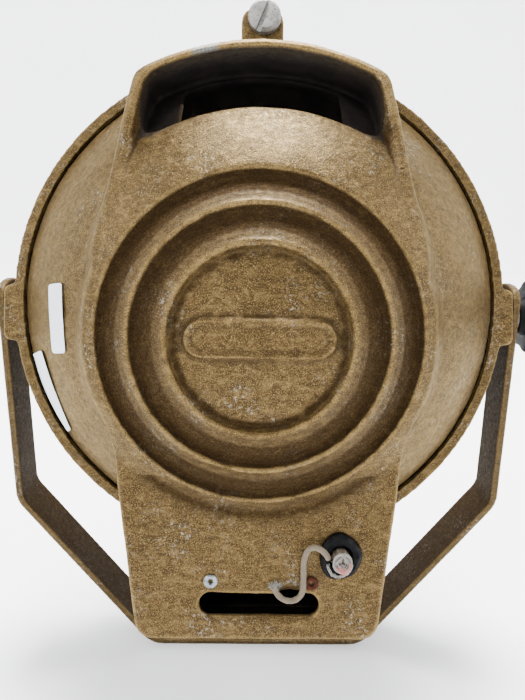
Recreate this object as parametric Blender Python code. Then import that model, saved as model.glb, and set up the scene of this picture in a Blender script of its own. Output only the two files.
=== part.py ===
"""Fresnel stage spotlight with an eight-inch lens, standing on its yoke.

Run with:  blender --background --python part.py
Units are metres, +Z is up, and the beam points along +Y.

The yoke is drawn in the world frame, with the middle of its foot's underside at the
origin. The lamp is drawn in its own frame: X to the right, Y along the beam, Z up, with
the origin at the centre of the ring's rear face. An empty on the tilt axis carries the
lamp, tipped nose-down by REST_TILT. Each further moving piece hangs from an empty on
its own axis.
"""

from math import acos, asin, atan2, cos, degrees, hypot, pi, radians, sin, sqrt

import bmesh
import bpy
from mathutils import Matrix, Vector

# ---- driving dimensions, in metres ------------------------------------------------------
GAP = 0.0003                  # clearance between pieces that touch
WALL = 0.0036                 # wall of the aluminium castings

# front casting: ring, barrel and tray, in the lamp frame
RING_R = 0.130
RIM_WIDTH = 0.0056
LENS_R = 0.1000
BARREL_R = 0.1120
BARREL_FRONT_Y = 0.084
TRAY_FRONT_Y = 0.062

# tilt axis in the lamp frame, and the yoke
PIVOT_Y = 0.0210
PIVOT_Z = -0.0050
REST_TILT = radians(15.1)
YOKE_DROP = 0.2100            # tilt axis to the foot's underside
YOKE_HALF = 0.1410            # outer half-width
STRAP_W = 0.0280
STRAP_T = 0.0039
ARM_TOP = 0.0180              # arm's end above the tilt axis
BEND_Z = 0.0990               # height of the first bend above the foot's underside
FOOT_HALF = 0.0657

# rear casting: dome, pad, ribs, hood and box
DOME_BASE_R = 0.1228
DOME_RISE = 0.0660
PAD = 0.0060                  # height of the pad above the dome
BOSS_Z = -0.0200              # centre of the ribs
RIB_OUTER_R = 0.0770
SHOULDER_R = 0.0800           # outside of the pad where it rounds the ribs
PLATE_Y = -0.0330             # rear face of the box
BOX_BOTTOM_Z = -0.1650
LIP_Y = -0.0450               # plane of the hood's mouth
HOOD_R = 0.1197               # hood's roof, about the lamp's axis
HOOD_SILL_R = 0.0880          # lower edge of the mouth
HOOD_WALL = 0.0042
HINGE_Z = -0.1695
LUG_HOLE_Z = 0.1460
SCREW_X = 0.0010

# the box's slot, cable bush and rivets, as seen on its rear face
SLOT_HALF = 0.0290
SLOT_R = 0.0056
SLOT_Z = -0.1480
SLOT_X = 0.0010
GROMMET_X = 0.0400
GROMMET_Z = -0.1235
RIVETS = ((-0.0225, -0.1365), (0.0262, -0.1372))

# braided earth lead, from the cut cable down to the slot and back up through it
LEAD_R = 0.0015
LEAD_ROUTE = [
    (0.0336, -0.0424, -0.1222), (0.0322, -0.0432, -0.1200), (0.0300, -0.0430, -0.1180),
    (0.0270, -0.0412, -0.1174), (0.0240, -0.0390, -0.1196), (0.0224, -0.0374, -0.1250),
    (0.0222, -0.0366, -0.1320), (0.0221, -0.0366, -0.1380), (0.0208, -0.0368, -0.1420),
    (0.0172, -0.0370, -0.1443), (0.0130, -0.0370, -0.1438), (0.0099, -0.0368, -0.1414),
    (0.0082, -0.0366, -0.1382),
]

# side lugs and hinge
LUG_FACE = 0.1355             # outer face of the ring's side lugs
STUD_R = 0.0040               # tilt stud and pivot bolt
KNUCKLE_R = 0.0040
PIN_BORE = 0.0018
HINGE_LEAF = 0.0119           # half-length of the ring's middle knuckle

# lens
LENS_BACK = 0.0745
LENS_EDGE = 0.0050            # thickness of the lens's rim
PRISM_HEIGHT = 0.0038
PRISMS = 5
LENS_DOME_R = 0.0260

# inside
FOCUS_Y = 0.0220              # filament's place along the beam
CARRIAGE_Z = -0.1345          # top of the sliding plate
RAIL_X = 0.0300
RAIL_Z = -0.1460
RAIL_R = 0.0025
SLIDE_TRAVEL = 0.0120
KNOB_Y = 0.0300               # focus screw's place along the beam
SCREW_R = 0.0030              # cover screw and focus screw
BULB_Z = CARRIAGE_Z + 0.0475  # foot of the lamp's glass
BULB_TOP = 0.0420
BULB_R = 0.0185
TERMINAL_X = -0.0300
TERMINAL_TOP = CARRIAGE_Z + 0.0130

DOME_R = (DOME_BASE_R ** 2 + DOME_RISE ** 2) / (2 * DOME_RISE)
DOME_CENTRE_Y = DOME_R - DOME_RISE
PIVOT = Vector((0.0, PIVOT_Y, PIVOT_Z))
HINGE = Vector((0.0, 0.0, HINGE_Z))
AXIS_POINT = {}               # each empty's point in the lamp frame

# (distance from the boss's centre, depth below the pad) for the disc and the ribs
RIB_PROFILE = [
    (0.0000, 0.0058), (0.0385, 0.0060), (0.0425, 0.0000), (0.0450, 0.0006), (0.0556, 0.0060),
    (0.0598, 0.0000), (0.0622, 0.0006), (0.0722, 0.0062), (0.0770, 0.0000),
]


# ---- helpers -----------------------------------------------------------------------------
def clear_scene():
    for o in list(bpy.data.objects):
        bpy.data.objects.remove(o, do_unlink=True)


def material(name, colour, roughness, metallic=0.0, alpha=1.0):
    """A Principled material; made once for each name."""
    mat = bpy.data.materials.get(name)
    if mat:
        return mat
    mat = bpy.data.materials.new(name)
    mat.use_nodes = True
    shader = mat.node_tree.nodes["Principled BSDF"]
    shader.inputs["Base Color"].default_value = (*colour, 1.0)
    shader.inputs["Roughness"].default_value = roughness
    shader.inputs["Metallic"].default_value = metallic
    shader.inputs["Alpha"].default_value = alpha
    mat.diffuse_color = (*colour, alpha)
    return mat


def gold():
    return material("hammered_bronze_paint", (0.30, 0.23, 0.12), 0.45, 0.4)


def steel():
    return material("zinc_steel", (0.48, 0.47, 0.45), 0.38, 0.9)


def black():
    return material("black_bakelite", (0.015, 0.015, 0.017), 0.35)


def ceramic():
    return material("ceramic", (0.78, 0.74, 0.66), 0.4)


def braid():
    return material("glass_braid", (0.68, 0.62, 0.54), 0.85)


def mesh_from(verts, faces, name="solid"):
    """A closed mesh with its faces turned outwards."""
    bm = bmesh.new()
    made = [bm.verts.new(v) for v in verts]
    for face in faces:
        bm.faces.new([made[i] for i in face])
    bmesh.ops.recalc_face_normals(bm, faces=bm.faces)
    mesh = bpy.data.meshes.new(name)
    bm.to_mesh(mesh)
    bm.free()
    return mesh


def turned(profile, segments, closed=True, axis="Y"):
    """A turned solid about the lamp's axis. profile lists (radius, y).

    A closed profile goes all round a ring; an open one starts and ends on the axis.
    """
    ring = profile if closed else profile[1:-1]
    verts = []
    for r, y in ring:
        for k in range(segments):
            a = 2 * pi * k / segments
            verts.append((r * sin(a), y, r * cos(a)))
    faces = []
    rows = len(ring)
    last = rows if closed else rows - 1
    for i in range(last):
        j = (i + 1) % rows
        for k in range(segments):
            m = (k + 1) % segments
            faces.append((i * segments + k, i * segments + m, j * segments + m, j * segments + k))
    if not closed:
        start = len(verts)
        verts += [(0, profile[0][1], 0), (0, profile[-1][1], 0)]
        for k in range(segments):
            m = (k + 1) % segments
            faces.append((start, m, k))
            base = (rows - 1) * segments
            faces.append((start + 1, base + k, base + m))
    mesh = mesh_from(verts, faces)
    if axis == "X":
        mesh.transform(Matrix.Rotation(-pi / 2, 4, "Z"))
    if axis == "Z":
        mesh.transform(Matrix.Rotation(pi / 2, 4, "X"))
    return mesh


def moved(mesh, x=0.0, y=0.0, z=0.0):
    mesh.transform(Matrix.Translation((x, y, z)))
    return mesh


def rod(radius, start, end, segments=16, axis="Y"):
    """A plain round bar along one axis, from start to end."""
    return turned([(0, start), (radius, start), (radius, end), (0, end)], segments, False, axis)


def tube(outer, inner, start, end, segments=16, axis="Y"):
    return turned([(inner, start), (outer, start), (outer, end), (inner, end)], segments, True, axis)


def prism(outline, start, end, axis="Y"):
    """An outline pulled along an axis. The outline is (x, z), (y, z) or (x, y) pairs."""
    def at(p, s):
        return {"Y": (p[0], s, p[1]), "X": (s, p[0], p[1]), "Z": (p[0], p[1], s)}[axis]

    n = len(outline)
    verts = [at(p, start) for p in outline] + [at(p, end) for p in outline]
    faces = [tuple(range(n)), tuple(range(n, 2 * n))]
    faces += [(i, (i + 1) % n, n + (i + 1) % n, n + i) for i in range(n)]
    return mesh_from(verts, faces)


def block(x0, x1, y0, y1, z0, z1):
    return prism([(x0, z0), (x1, z0), (x1, z1), (x0, z1)], y0, y1)


def arc(cx, cz, r, start, end, steps):
    """Points on an arc, angles in degrees from +X towards +Z."""
    return [
        (cx + r * cos(radians(start + (end - start) * i / steps)),
         cz + r * sin(radians(start + (end - start) * i / steps)))
        for i in range(steps + 1)
    ]


def between(a, b, steps):
    """Points inside the straight line from a to b, without its ends."""
    return [
        (a[0] + (b[0] - a[0]) * i / steps, a[1] + (b[1] - a[1]) * i / steps)
        for i in range(1, steps)
    ]


def rounded_box(x0, x1, z0, z1, r, steps=3):
    return (
        arc(x1 - r, z1 - r, r, 0, 90, steps) + arc(x0 + r, z1 - r, r, 90, 180, steps)
        + arc(x0 + r, z0 + r, r, 180, 270, steps) + arc(x1 - r, z0 + r, r, 270, 360, steps)
    )


def carve(base, *steps):
    """Unites meshes with, or cuts them from, base: each step is ("UNION" or "DIFFERENCE", mesh)."""
    work = bpy.data.objects.new("work", base)
    bpy.context.scene.collection.objects.link(work)
    tools = []
    for operation, mesh in steps:
        tool = bpy.data.objects.new("tool", mesh)
        bpy.context.scene.collection.objects.link(tool)
        tools.append(tool)
        modifier = work.modifiers.new(operation.lower(), "BOOLEAN")
        modifier.operation = operation
        modifier.solver = "EXACT"
        modifier.object = tool
    graph = bpy.context.evaluated_depsgraph_get()
    result = bpy.data.meshes.new_from_object(work.evaluated_get(graph))
    for o in [work, *tools]:
        bpy.data.objects.remove(o, do_unlink=True)
    return tidy(result)


def tidy(mesh):
    """Welds the slivers that a cut leaves and turns the faces outwards."""
    bm = bmesh.new()
    bm.from_mesh(mesh)
    bmesh.ops.remove_doubles(bm, verts=bm.verts, dist=0.00002)
    bmesh.ops.dissolve_degenerate(bm, edges=bm.edges, dist=0.00002)
    bmesh.ops.triangulate(bm, faces=[f for f in bm.faces if len(f.verts) > 4])
    bmesh.ops.recalc_face_normals(bm, faces=bm.faces)
    bm.to_mesh(mesh)
    bm.free()
    return mesh


def empty(name, point, parent=None, tilt=0.0):
    """An empty on a joint's axis. point is where the axis passes, in the lamp frame."""
    o = bpy.data.objects.new(name, None)
    bpy.context.scene.collection.objects.link(o)
    o.empty_display_size = 0.02
    AXIS_POINT[name] = Vector(point)
    if parent:
        o.parent = parent
        o.location = AXIS_POINT[name] - AXIS_POINT[parent.name]
    o.rotation_euler = (tilt, 0.0, 0.0)
    return o


def add(name, mesh, mat, carrier=None, smooth=35.0):
    """A named sub-part. A mesh drawn in the lamp frame is shifted to its carrier's axis."""
    mesh.name = name
    mesh.materials.clear()
    mesh.materials.append(mat)
    o = bpy.data.objects.new(name, mesh)
    bpy.context.scene.collection.objects.link(o)
    mesh.shade_smooth()
    mesh.set_sharp_from_angle(angle=radians(smooth))
    hang(o, carrier)
    return o


def hang(o, carrier):
    """Parents a piece to its axis, keeping the place it was drawn at."""
    if carrier:
        o.parent = carrier
        o.location = -AXIS_POINT[carrier.name]


# ---- yoke ----------------------------------------------------------------------------------
def yoke_centre_line():
    """Outer face of the strap from the right arm's top round to the left arm's, (x, z)."""
    right = [
        (YOKE_HALF, YOKE_DROP + ARM_TOP),
        (YOKE_HALF, BEND_Z),
        (FOOT_HALF, 0.0),
    ]
    return right + [(-x, z) for x, z in reversed(right)]


def offset_inwards(points, distance):
    """The same open line, moved by distance towards the inside of the U."""
    made = []
    for i, p in enumerate(points):
        normals = []
        for a, b in ((i - 1, i), (i, i + 1)):
            if a >= 0 and b < len(points):
                d = Vector((points[b][0] - points[a][0], points[b][1] - points[a][1])).normalized()
                normals.append(Vector((d.y, -d.x)))
        n = sum(normals, Vector((0, 0))).normalized()
        reach = distance / n.dot(normals[0])
        made.append((p[0] + n.x * reach, p[1] + n.y * reach))
    return made


def bend_corners(points, radius, steps=4):
    """Rounds the inner corners of an open line with arcs of the given radius."""
    out = [points[0]]
    for before, corner, after in zip(points, points[1:], points[2:]):
        c = Vector(corner)
        a = (Vector(before) - c).normalized()
        b = (Vector(after) - c).normalized()
        half = acos(max(-1, min(1, a.dot(b)))) / 2
        cut = radius / sin(half) * cos(half)
        centre = c + (a + b).normalized() * radius / sin(half)
        start, end = c + a * cut - centre, c + b * cut - centre
        turn = start.angle_signed(end)
        for i in range(steps + 1):
            v = start.copy()
            v.rotate(Matrix.Rotation(-turn * i / steps, 2))
            out.append(tuple(centre + v))
    out.append(points[-1])
    return out


def build_yoke():
    outer = yoke_centre_line()
    inner = offset_inwards(outer, STRAP_T)
    bend = 0.012
    profile = bend_corners(outer, bend + STRAP_T) + list(reversed(bend_corners(inner, bend)))
    strap = prism(profile, -STRAP_W / 2, STRAP_W / 2)
    # round the two arm ends, seen from the side
    top = YOKE_DROP + ARM_TOP
    half = STRAP_W / 2
    corner = 0.010
    trims = []
    for side in (-1, 1):
        shape = [(side * (half + 0.001), top + 0.001), (side * (half + 0.001), top - corner)]
        curve = arc(side * (half - corner), top - corner, corner, 0 if side > 0 else 180, 90, 5)
        shape += curve
        shape.append((side * (half - corner), top + 0.001))
        trims.append(("DIFFERENCE", prism(shape, -YOKE_HALF - 0.01, YOKE_HALF + 0.01, "X")))
    pivot_hole = moved(rod(0.0053, -YOKE_HALF - 0.01, YOKE_HALF + 0.01, 20, "X"), z=YOKE_DROP)
    fixing = [
        ("DIFFERENCE", moved(rod(0.0055, -0.002, STRAP_T + 0.002, 20, "Z"), x=x))
        for x in (-0.034, 0.034)
    ]
    return carve(strap, *trims, ("DIFFERENCE", pivot_hole), *fixing)


# ---- rear casting ----------------------------------------------------------------------------
def dome_y(x, z, proud=0.0):
    """Rearmost Y of the dome's sphere over (x, z); proud lifts the surface outwards."""
    r = DOME_R + proud
    return DOME_CENTRE_Y - sqrt(max(r * r - x * x - z * z, 0.0))


def rib_depth(r):
    """How far the ribbed boss lies below the pad at distance r from its centre."""
    for (r0, d0), (r1, d1) in zip(RIB_PROFILE, RIB_PROFILE[1:]):
        if r <= r1:
            return d0 + (d1 - d0) * (r - r0) / (r1 - r0)
    return 0.0


def pad_y(x, z):
    """Rear surface of the pad: sphere, filled out to the mouth's plane and to the box's plate."""
    y = dome_y(x, z, PAD)
    if z > 0.03:
        y = min(y, LIP_Y)
    if z < -0.06:
        y = min(y, PLATE_Y)
    return y + rib_depth(hypot(x, z - BOSS_Z))


def pad_outline():
    """Outside of the raised pad, hood and box, (x, z), from the top clockwise."""
    shoulder = degrees(asin(0.0560 / HOOD_R))
    half = arc(0, 0, HOOD_R, 90, 90 - shoulder, 5)
    half += [(0.0595, 0.1020), (0.0612, 0.0965)]
    flank = (0.0755, 0.0100)
    half += between(half[-1], flank, 4)
    start = degrees(atan2(flank[1] - BOSS_Z, flank[0]))
    half += arc(0, BOSS_Z, SHOULDER_R, start, -24, 5)
    corner = 0.0090
    box_top, box_low = (0.0693, -0.0740), (0.0594, BOX_BOTTOM_Z + corner)
    half += [box_top, *between(box_top, box_low, 3)]
    half += arc(box_low[0] - corner, BOX_BOTTOM_Z + corner, corner, 0, -90, 3)
    half += between(half[-1], (0.0, BOX_BOTTOM_Z), 2) + [(0.0, BOX_BOTTOM_Z)]
    return half + [(-x, z) for x, z in reversed(half[1:-1])]


def build_pad():
    """The pad as a closed solid: rows of points from the boss's centre out to the outline."""
    outline = pad_outline()
    n = len(outline)
    rows = []
    for r, _ in RIB_PROFILE[1:]:
        row = []
        for x, z in outline:
            d = hypot(x, z - BOSS_Z)
            row.append((x * r / d, BOSS_Z + (z - BOSS_Z) * r / d))
        rows.append(row)
    for share in (0.16, 0.5, 1.0):
        row = []
        for x, z in outline:
            d = hypot(x, z - BOSS_Z)
            r = RIB_OUTER_R + (d - RIB_OUTER_R) * share
            row.append((x * r / d, BOSS_Z + (z - BOSS_Z) * r / d))
        rows.append(row)
    verts = [(x, pad_y(x, z), z) for row in rows for x, z in row]
    verts += [(x, -GAP, z) for x, z in outline]
    verts += [(0.0, pad_y(0.0, BOSS_Z), BOSS_Z), (0.0, -GAP, BOSS_Z)]
    count = len(rows) + 1
    faces = []
    for i in range(count - 1):
        for k in range(n):
            m = (k + 1) % n
            faces.append((i * n + k, i * n + m, (i + 1) * n + m, (i + 1) * n + k))
    for k in range(n):
        m = (k + 1) % n
        faces.append((count * n, m, k))
        faces.append((count * n + 1, (count - 1) * n + k, (count - 1) * n + m))
    return mesh_from(verts, faces)


def cap(proud, front_y, rings, segments):
    """The dome's spherical cap as a solid, cut off at front_y."""
    radius = DOME_R + proud
    widest = asin(min(1.0, (DOME_BASE_R + proud) / radius))
    profile = [(0.0, DOME_CENTRE_Y - radius)]
    for i in range(1, rings + 1):
        a = widest * i / rings
        profile.append((radius * sin(a), DOME_CENTRE_Y - radius * cos(a)))
    profile.append((profile[-1][0], front_y))
    profile.append((0.0, front_y))
    return turned(profile, segments, False)


def hood_pocket():
    """Outline of the space behind the hood's mouth, (x, z)."""
    roof = HOOD_R - HOOD_WALL
    side = 0.0560
    turn_in = degrees(acos(0.0520 / roof))
    points = arc(0, 0, roof, 180 - turn_in, turn_in, 10)
    points += [(side - 0.0012, 0.0985), (side, 0.0940), (side + 0.0016, 0.0815)]
    points += [(side, 0.0770), (0.0530, 0.0752)]
    sill = degrees(acos(0.0490 / HOOD_SILL_R))
    points += arc(0, 0, HOOD_SILL_R, sill, 180 - sill, 10)
    points += [(-x, z) for x, z in (
        (0.0530, 0.0752), (side, 0.0770), (side + 0.0016, 0.0815), (side, 0.0940),
        (side - 0.0012, 0.0985),
    )]
    return points


def hood_window():
    """Outline of the vent through the dome, inside the hood."""
    low, high = 0.0855, 0.1120
    half = 0.0390
    a, b = degrees(acos(half / high)), degrees(acos(half / low))
    return arc(0, 0, high, 180 - a, a, 6) + arc(0, 0, low, b, 180 - b, 6)


def box_cavity():
    """Inside of the rear box, (x, z)."""
    bottom = BOX_BOTTOM_Z + WALL
    return [
        (-0.0560, -0.0980), (0.0560, -0.0980), (0.0630, -0.1000), (0.0558, bottom + 0.006),
        (0.0500, bottom), (-0.0500, bottom), (-0.0558, bottom + 0.006), (-0.0630, -0.1000),
    ]


def slot_outline():
    """The cooling slot: round ends, and a worn scallop in its upper edge."""
    right = arc(SLOT_X + SLOT_HALF - SLOT_R, SLOT_Z, SLOT_R, -90, 90, 6)
    left = arc(SLOT_X - SLOT_HALF + SLOT_R, SLOT_Z, SLOT_R, 90, 270, 6)
    scallop = [(x, SLOT_Z + SLOT_R - 0.0005 + h) for x, h in (
        (0.0235, 0.0), (0.0215, 0.0028), (0.0165, 0.0040), (0.0115, 0.0030), (0.0090, 0.0))]
    return right + scallop + left


def knuckle(x0, x1, side):
    """A barrel and web of the cover's hinge; side is -1 for the cover's, 1 for the ring's."""
    barrel = moved(rod(KNUCKLE_R, x0, x1, 16, "X"), z=HINGE_Z)
    near, far = sorted((side * (GAP + 0.0002), side * (KNUCKLE_R - 0.0004)))
    inset = 0.0005
    web = block(x0 + inset, x1 - inset, near, far, HINGE_Z, BOX_BOTTOM_Z + 0.0010)
    return barrel, web


def build_rear_housing():
    pad = carve(build_pad(), ("DIFFERENCE", prism(hood_pocket(), -0.080, 0.010)))
    lug = prism(rounded_lug(0.0108, 0.1130, 0.1520), -0.0065, -GAP)
    steps = [
        ("UNION", pad),
        ("UNION", lug),
        ("DIFFERENCE", cap(-WALL, 0.010, 5, 40)),
        ("DIFFERENCE", prism(box_cavity(), PLATE_Y + WALL, 0.010)),
        ("DIFFERENCE", prism(hood_window(), -0.060, 0.002)),
        ("DIFFERENCE", prism(slot_outline(), -0.050, PLATE_Y + WALL + 0.002)),
        ("DIFFERENCE", moved(rod(0.0082, -0.050, -0.020, 20), x=GROMMET_X, z=GROMMET_Z)),
        ("DIFFERENCE", moved(rod(0.0042, -0.012, 0.002, 16), x=SCREW_X, z=LUG_HOLE_Z)),
    ]
    for x, z in RIVETS:
        steps.append(("DIFFERENCE", moved(rod(0.0021, -0.050, -0.020, 12), x=x, z=z)))
    for side in (-1, 1):
        x0, x1 = sorted((side * 0.0125, side * 0.0270))
        barrel, web = knuckle(x0, x1, -1)
        steps += [("UNION", web), ("UNION", barrel)]
    steps.append(("DIFFERENCE", moved(rod(PIN_BORE, -0.040, 0.040, 12, "X"), z=HINGE_Z)))
    return carve(cap(0.0, 0.0035, 6, 56), *steps)


def rounded_lug(half, low, high):
    """A tab with a rounded top, (x, z)."""
    r = 0.0070
    return (
        [(-half, low), (half, low)] + arc(half - r, high - r, r, 0, 90, 4)
        + arc(-half + r, high - r, r, 90, 180, 4)
    )


# ---- front casting ---------------------------------------------------------------------------
def tray_outline(inset=0.0):
    bottom = BOX_BOTTOM_Z + inset
    return [
        (-0.0650 + inset, -0.1080), (0.0650 - inset, -0.1080), (0.0594 - inset, bottom + 0.009),
        (0.0567 - inset, bottom + 0.0026), (0.0504, bottom), (-0.0504, bottom),
        (-0.0567 + inset, bottom + 0.0026), (-0.0594 + inset, bottom + 0.009),
    ]


def build_front_housing():
    rim_in = RING_R - RIM_WIDTH
    profile = [
        (rim_in, 0.0), (RING_R, 0.0), (RING_R, 0.0200), (0.1165, 0.0310), (BARREL_R, 0.0370),
        (BARREL_R, BARREL_FRONT_Y), (LENS_R + 0.0022, BARREL_FRONT_Y),
        (LENS_R + 0.0022, 0.0740), (LENS_R - 0.0050, 0.0740), (LENS_R - 0.0050, 0.0705),
        (BARREL_R - WALL, 0.0680), (BARREL_R - WALL, 0.0380), (0.1205, 0.0200),
        (0.1205, 0.0045), (rim_in, 0.0045),
    ]
    side_lug = rounded_box(-LUG_FACE, LUG_FACE, -0.0213, 0.0085, 0.0040, 2)
    lug_cut = turned([(0, -0.010), (0.1250, -0.010), (0.1250, 0.05), (0, 0.05)], 48, False)
    lugs = carve(prism(side_lug, 0.0, 0.0370), ("DIFFERENCE", lug_cut))
    top_lug = prism(rounded_lug(0.0105, 0.1262, 0.1510), 0.0, 0.0170)
    hub, leaf = knuckle(-HINGE_LEAF, HINGE_LEAF, 1)
    steps = [
        ("UNION", prism(tray_outline(), GAP, TRAY_FRONT_Y)),
        ("DIFFERENCE", prism(tray_outline(WALL), -0.010, TRAY_FRONT_Y - WALL)),
        ("DIFFERENCE", block(-0.0400, 0.0400, 0.0050, TRAY_FRONT_Y - WALL, -0.1120, -0.0980)),
        ("UNION", lugs),
        ("UNION", top_lug),
        ("UNION", leaf),
        ("UNION", hub),
        ("DIFFERENCE", moved(rod(0.0038, -0.002, 0.0150, 16), x=SCREW_X, z=LUG_HOLE_Z)),
        ("DIFFERENCE", moved(rod(PIN_BORE, -0.040, 0.040, 12, "X"), z=HINGE_Z)),
        ("DIFFERENCE", prism(focus_slot(), BOX_BOTTOM_Z - 0.003, BOX_BOTTOM_Z + 0.006, "Z")),
    ]
    for side in (-1, 1):
        x0, x1 = sorted((side * 0.1250, side * 0.1400))
        bore = moved(rod(STUD_R + GAP, x0, x1, 16, "X"), y=PIVOT_Y, z=PIVOT_Z)
        steps.append(("DIFFERENCE", bore))
    for x in (-RAIL_X, RAIL_X):
        socket = moved(rod(RAIL_R + GAP, TRAY_FRONT_Y - 0.012, TRAY_FRONT_Y + 0.004, 12), x=x, z=RAIL_Z)
        steps.append(("DIFFERENCE", socket))
    return carve(turned(profile, 56), *steps)


def focus_slot():
    """Slot in the tray's floor for the focus screw, (x, y)."""
    reach = SLIDE_TRAVEL + 0.0005
    return (
        arc(0, KNOB_Y + reach, 0.0036, 0, 180, 5) + arc(0, KNOB_Y - reach, 0.0036, 180, 360, 5)
    )


# ---- lens and front fittings -------------------------------------------------------------------
def build_lens():
    """Stepped lens: flat behind, ring prisms in front round a domed middle."""
    valley = LENS_BACK + LENS_EDGE
    profile = [(0.0, LENS_BACK), (LENS_R, LENS_BACK), (LENS_R, valley)]
    outer = LENS_R - 0.0050
    pitch = (outer - LENS_DOME_R) / PRISMS
    for i in range(PRISMS):
        r = outer - i * pitch
        profile += [(r, valley), (r - pitch + 0.0006, valley + PRISM_HEIGHT)]
    profile += [(LENS_DOME_R - 0.0008, valley + 0.0006), (LENS_DOME_R * 0.58, valley + 0.0032)]
    profile.append((0.0, valley + 0.0043))
    return turned(profile, 36, False)


def build_colour_runners():
    """Two side guides and a bottom one that hold a colour frame in front of the lens."""
    half, low, high = 0.1060, -0.1060, 0.0700
    y0 = BARREL_FRONT_Y + GAP
    t = 0.0012
    slot = 0.0068
    lip = 0.0110
    section = [
        (half - lip, y0), (half + t, y0), (half + t, y0 + slot + 2 * t),
        (half - lip, y0 + slot + 2 * t), (half - lip, y0 + slot + t), (half, y0 + slot + t),
        (half, y0 + t), (half - lip, y0 + t),
    ]
    right = prism(section, low, high, "Z")
    left = right.copy()
    left.transform(Matrix.Scale(-1, 4, (1, 0, 0)))
    left.flip_normals()
    floor = [(y, -x) for x, y in section]
    bottom = prism(floor, -half + lip + 0.001, half - lip - 0.001, "X")
    return left, right, bottom


# ---- knob, bolts, bush and cable -------------------------------------------------------------------
def build_knob(segments=40):
    """Fluted clamping knob for the tilt, about the X axis."""
    x0 = YOKE_HALF + 0.0022
    hub = rod(0.0105, x0, x0 + 0.0065, 20, "X")
    lobes = 8
    outline = []
    for k in range(segments):
        a = 2 * pi * k / segments
        r = 0.0196 + 0.0014 * cos(lobes * a)
        outline.append((r * cos(a), r * sin(a)))
    body = prism(outline, x0 + 0.0055, x0 + 0.0235, "X")
    bore = rod(STUD_R + GAP, x0 - 0.002, x0 + 0.0150, 16, "X")
    return moved(carve(hub, ("UNION", body), ("DIFFERENCE", bore)), y=PIVOT_Y, z=PIVOT_Z)


def hexagon(radius):
    return [(radius * cos(pi * k / 3), radius * sin(pi * k / 3)) for k in range(6)]


def build_pivot_bolt():
    """Hexagon bolt through the left arm into the lug."""
    x = -YOKE_HALF - 0.0022
    head = prism(hexagon(0.0080), x - 0.0055, x, "X")
    shank = rod(STUD_R, x - 0.001, -0.1265, 16, "X")
    return moved(carve(head, ("UNION", shank)), y=PIVOT_Y, z=PIVOT_Z)


def washer(x0, x1, outer, inner=0.0045):
    return moved(tube(outer, inner, *sorted((x0, x1)), 14, "X"), y=PIVOT_Y, z=PIVOT_Z)


def build_cover_screw():
    """Cheese-head screw with a slot, about the lamp's axis direction."""
    head_back, head_front = -0.0123, -0.0065 - GAP
    profile = [
        (0, head_back), (0.0068, head_back), (0.0084, head_back + 0.0016), (0.0084, head_front),
        (SCREW_R, head_front), (SCREW_R, 0.0120), (0, 0.0120),
    ]
    slot = block(-0.0014, 0.0014, head_back - 0.001, head_back + 0.0024, -0.010, 0.010)
    slot.transform(Matrix.Rotation(radians(22), 4, "Y"))
    return moved(carve(turned(profile, 20, False), ("DIFFERENCE", slot)), x=SCREW_X, z=LUG_HOLE_Z)


def build_hinge_pin():
    profile = [(0, -0.0300), (0.0029, -0.0300), (0.0029, -0.0275), (0.0015, -0.0275),
               (0.0015, 0.0300), (0, 0.0300)]
    return moved(turned(profile, 12, False, "X"), z=HINGE_Z)


def build_rivet():
    """Tubular rivet with a domed, pierced head on the plate."""
    y = PLATE_Y - GAP
    return turned([
        (0.0008, y - 0.0006), (0.0022, y - 0.0014), (0.0034, y - 0.0008), (0.0035, y),
        (0.0018, y), (0.0018, PLATE_Y + WALL + 0.0010), (0.0008, PLATE_Y + WALL + 0.0010),
    ], 10)


def build_grommet():
    """Thick rubber bush, pressed out of shape by the cable."""
    y = PLATE_Y - GAP
    bore = 0.0050
    mesh = turned([
        (bore, y - 0.0040), (0.0078, y - 0.0052), (0.0104, y - 0.0038), (0.0112, y),
        (0.0078, y), (0.0078, PLATE_Y + WALL + GAP), (0.0100, PLATE_Y + WALL + GAP),
        (0.0096, PLATE_Y + WALL + 0.0025), (bore, PLATE_Y + WALL + 0.0025),
    ], 18)
    return moved(mesh, x=GROMMET_X, z=GROMMET_Z)


def build_supply_cable():
    """What is left of the supply cable: a short length through the grommet, cut at both ends."""
    return moved(rod(0.0046, PLATE_Y - 0.0105, PLATE_Y + 0.0160, 16), x=GROMMET_X, z=GROMMET_Z)


def build_cable_cores():
    """Frayed end of the cable: a pad of braid with three cores standing out of it."""
    end = PLATE_Y - 0.0105 - GAP
    pad = rod(0.0043, end - 0.0012, end, 14)
    cores = []
    for k in range(3):
        a = 2 * pi * k / 3 + 0.5
        core = rod(0.0015, end - 0.0024, end - 0.0006, 8)
        cores.append(("UNION", moved(core, 0.0022 * cos(a), 0, 0.0022 * sin(a))))
    return moved(carve(pad, *cores), x=GROMMET_X, z=GROMMET_Z)


def smooth_path(points, count):
    """Evenly spaced points on a smooth curve through the route's own points."""
    fine = []
    last = len(points) - 1
    for i in range(last):
        p0, p1, p2, p3 = (Vector(points[max(0, min(last, j))]) for j in (i - 1, i, i + 1, i + 2))
        for s in range(16):
            t = s / 16
            fine.append(0.5 * ((2 * p1) + (p2 - p0) * t + (2 * p0 - 5 * p1 + 4 * p2 - p3) * t * t
                               + (3 * p1 - p0 - 3 * p2 + p3) * t ** 3))
    fine.append(Vector(points[-1]))
    lengths = [0.0]
    for a, b in zip(fine, fine[1:]):
        lengths.append(lengths[-1] + (b - a).length)
    path = []
    j = 0
    for i in range(count):
        want = lengths[-1] * i / (count - 1)
        while j < len(fine) - 2 and lengths[j + 1] < want:
            j += 1
        span = lengths[j + 1] - lengths[j]
        path.append(fine[j].lerp(fine[j + 1], (want - lengths[j]) / span if span else 0.0))
    return path


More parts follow.
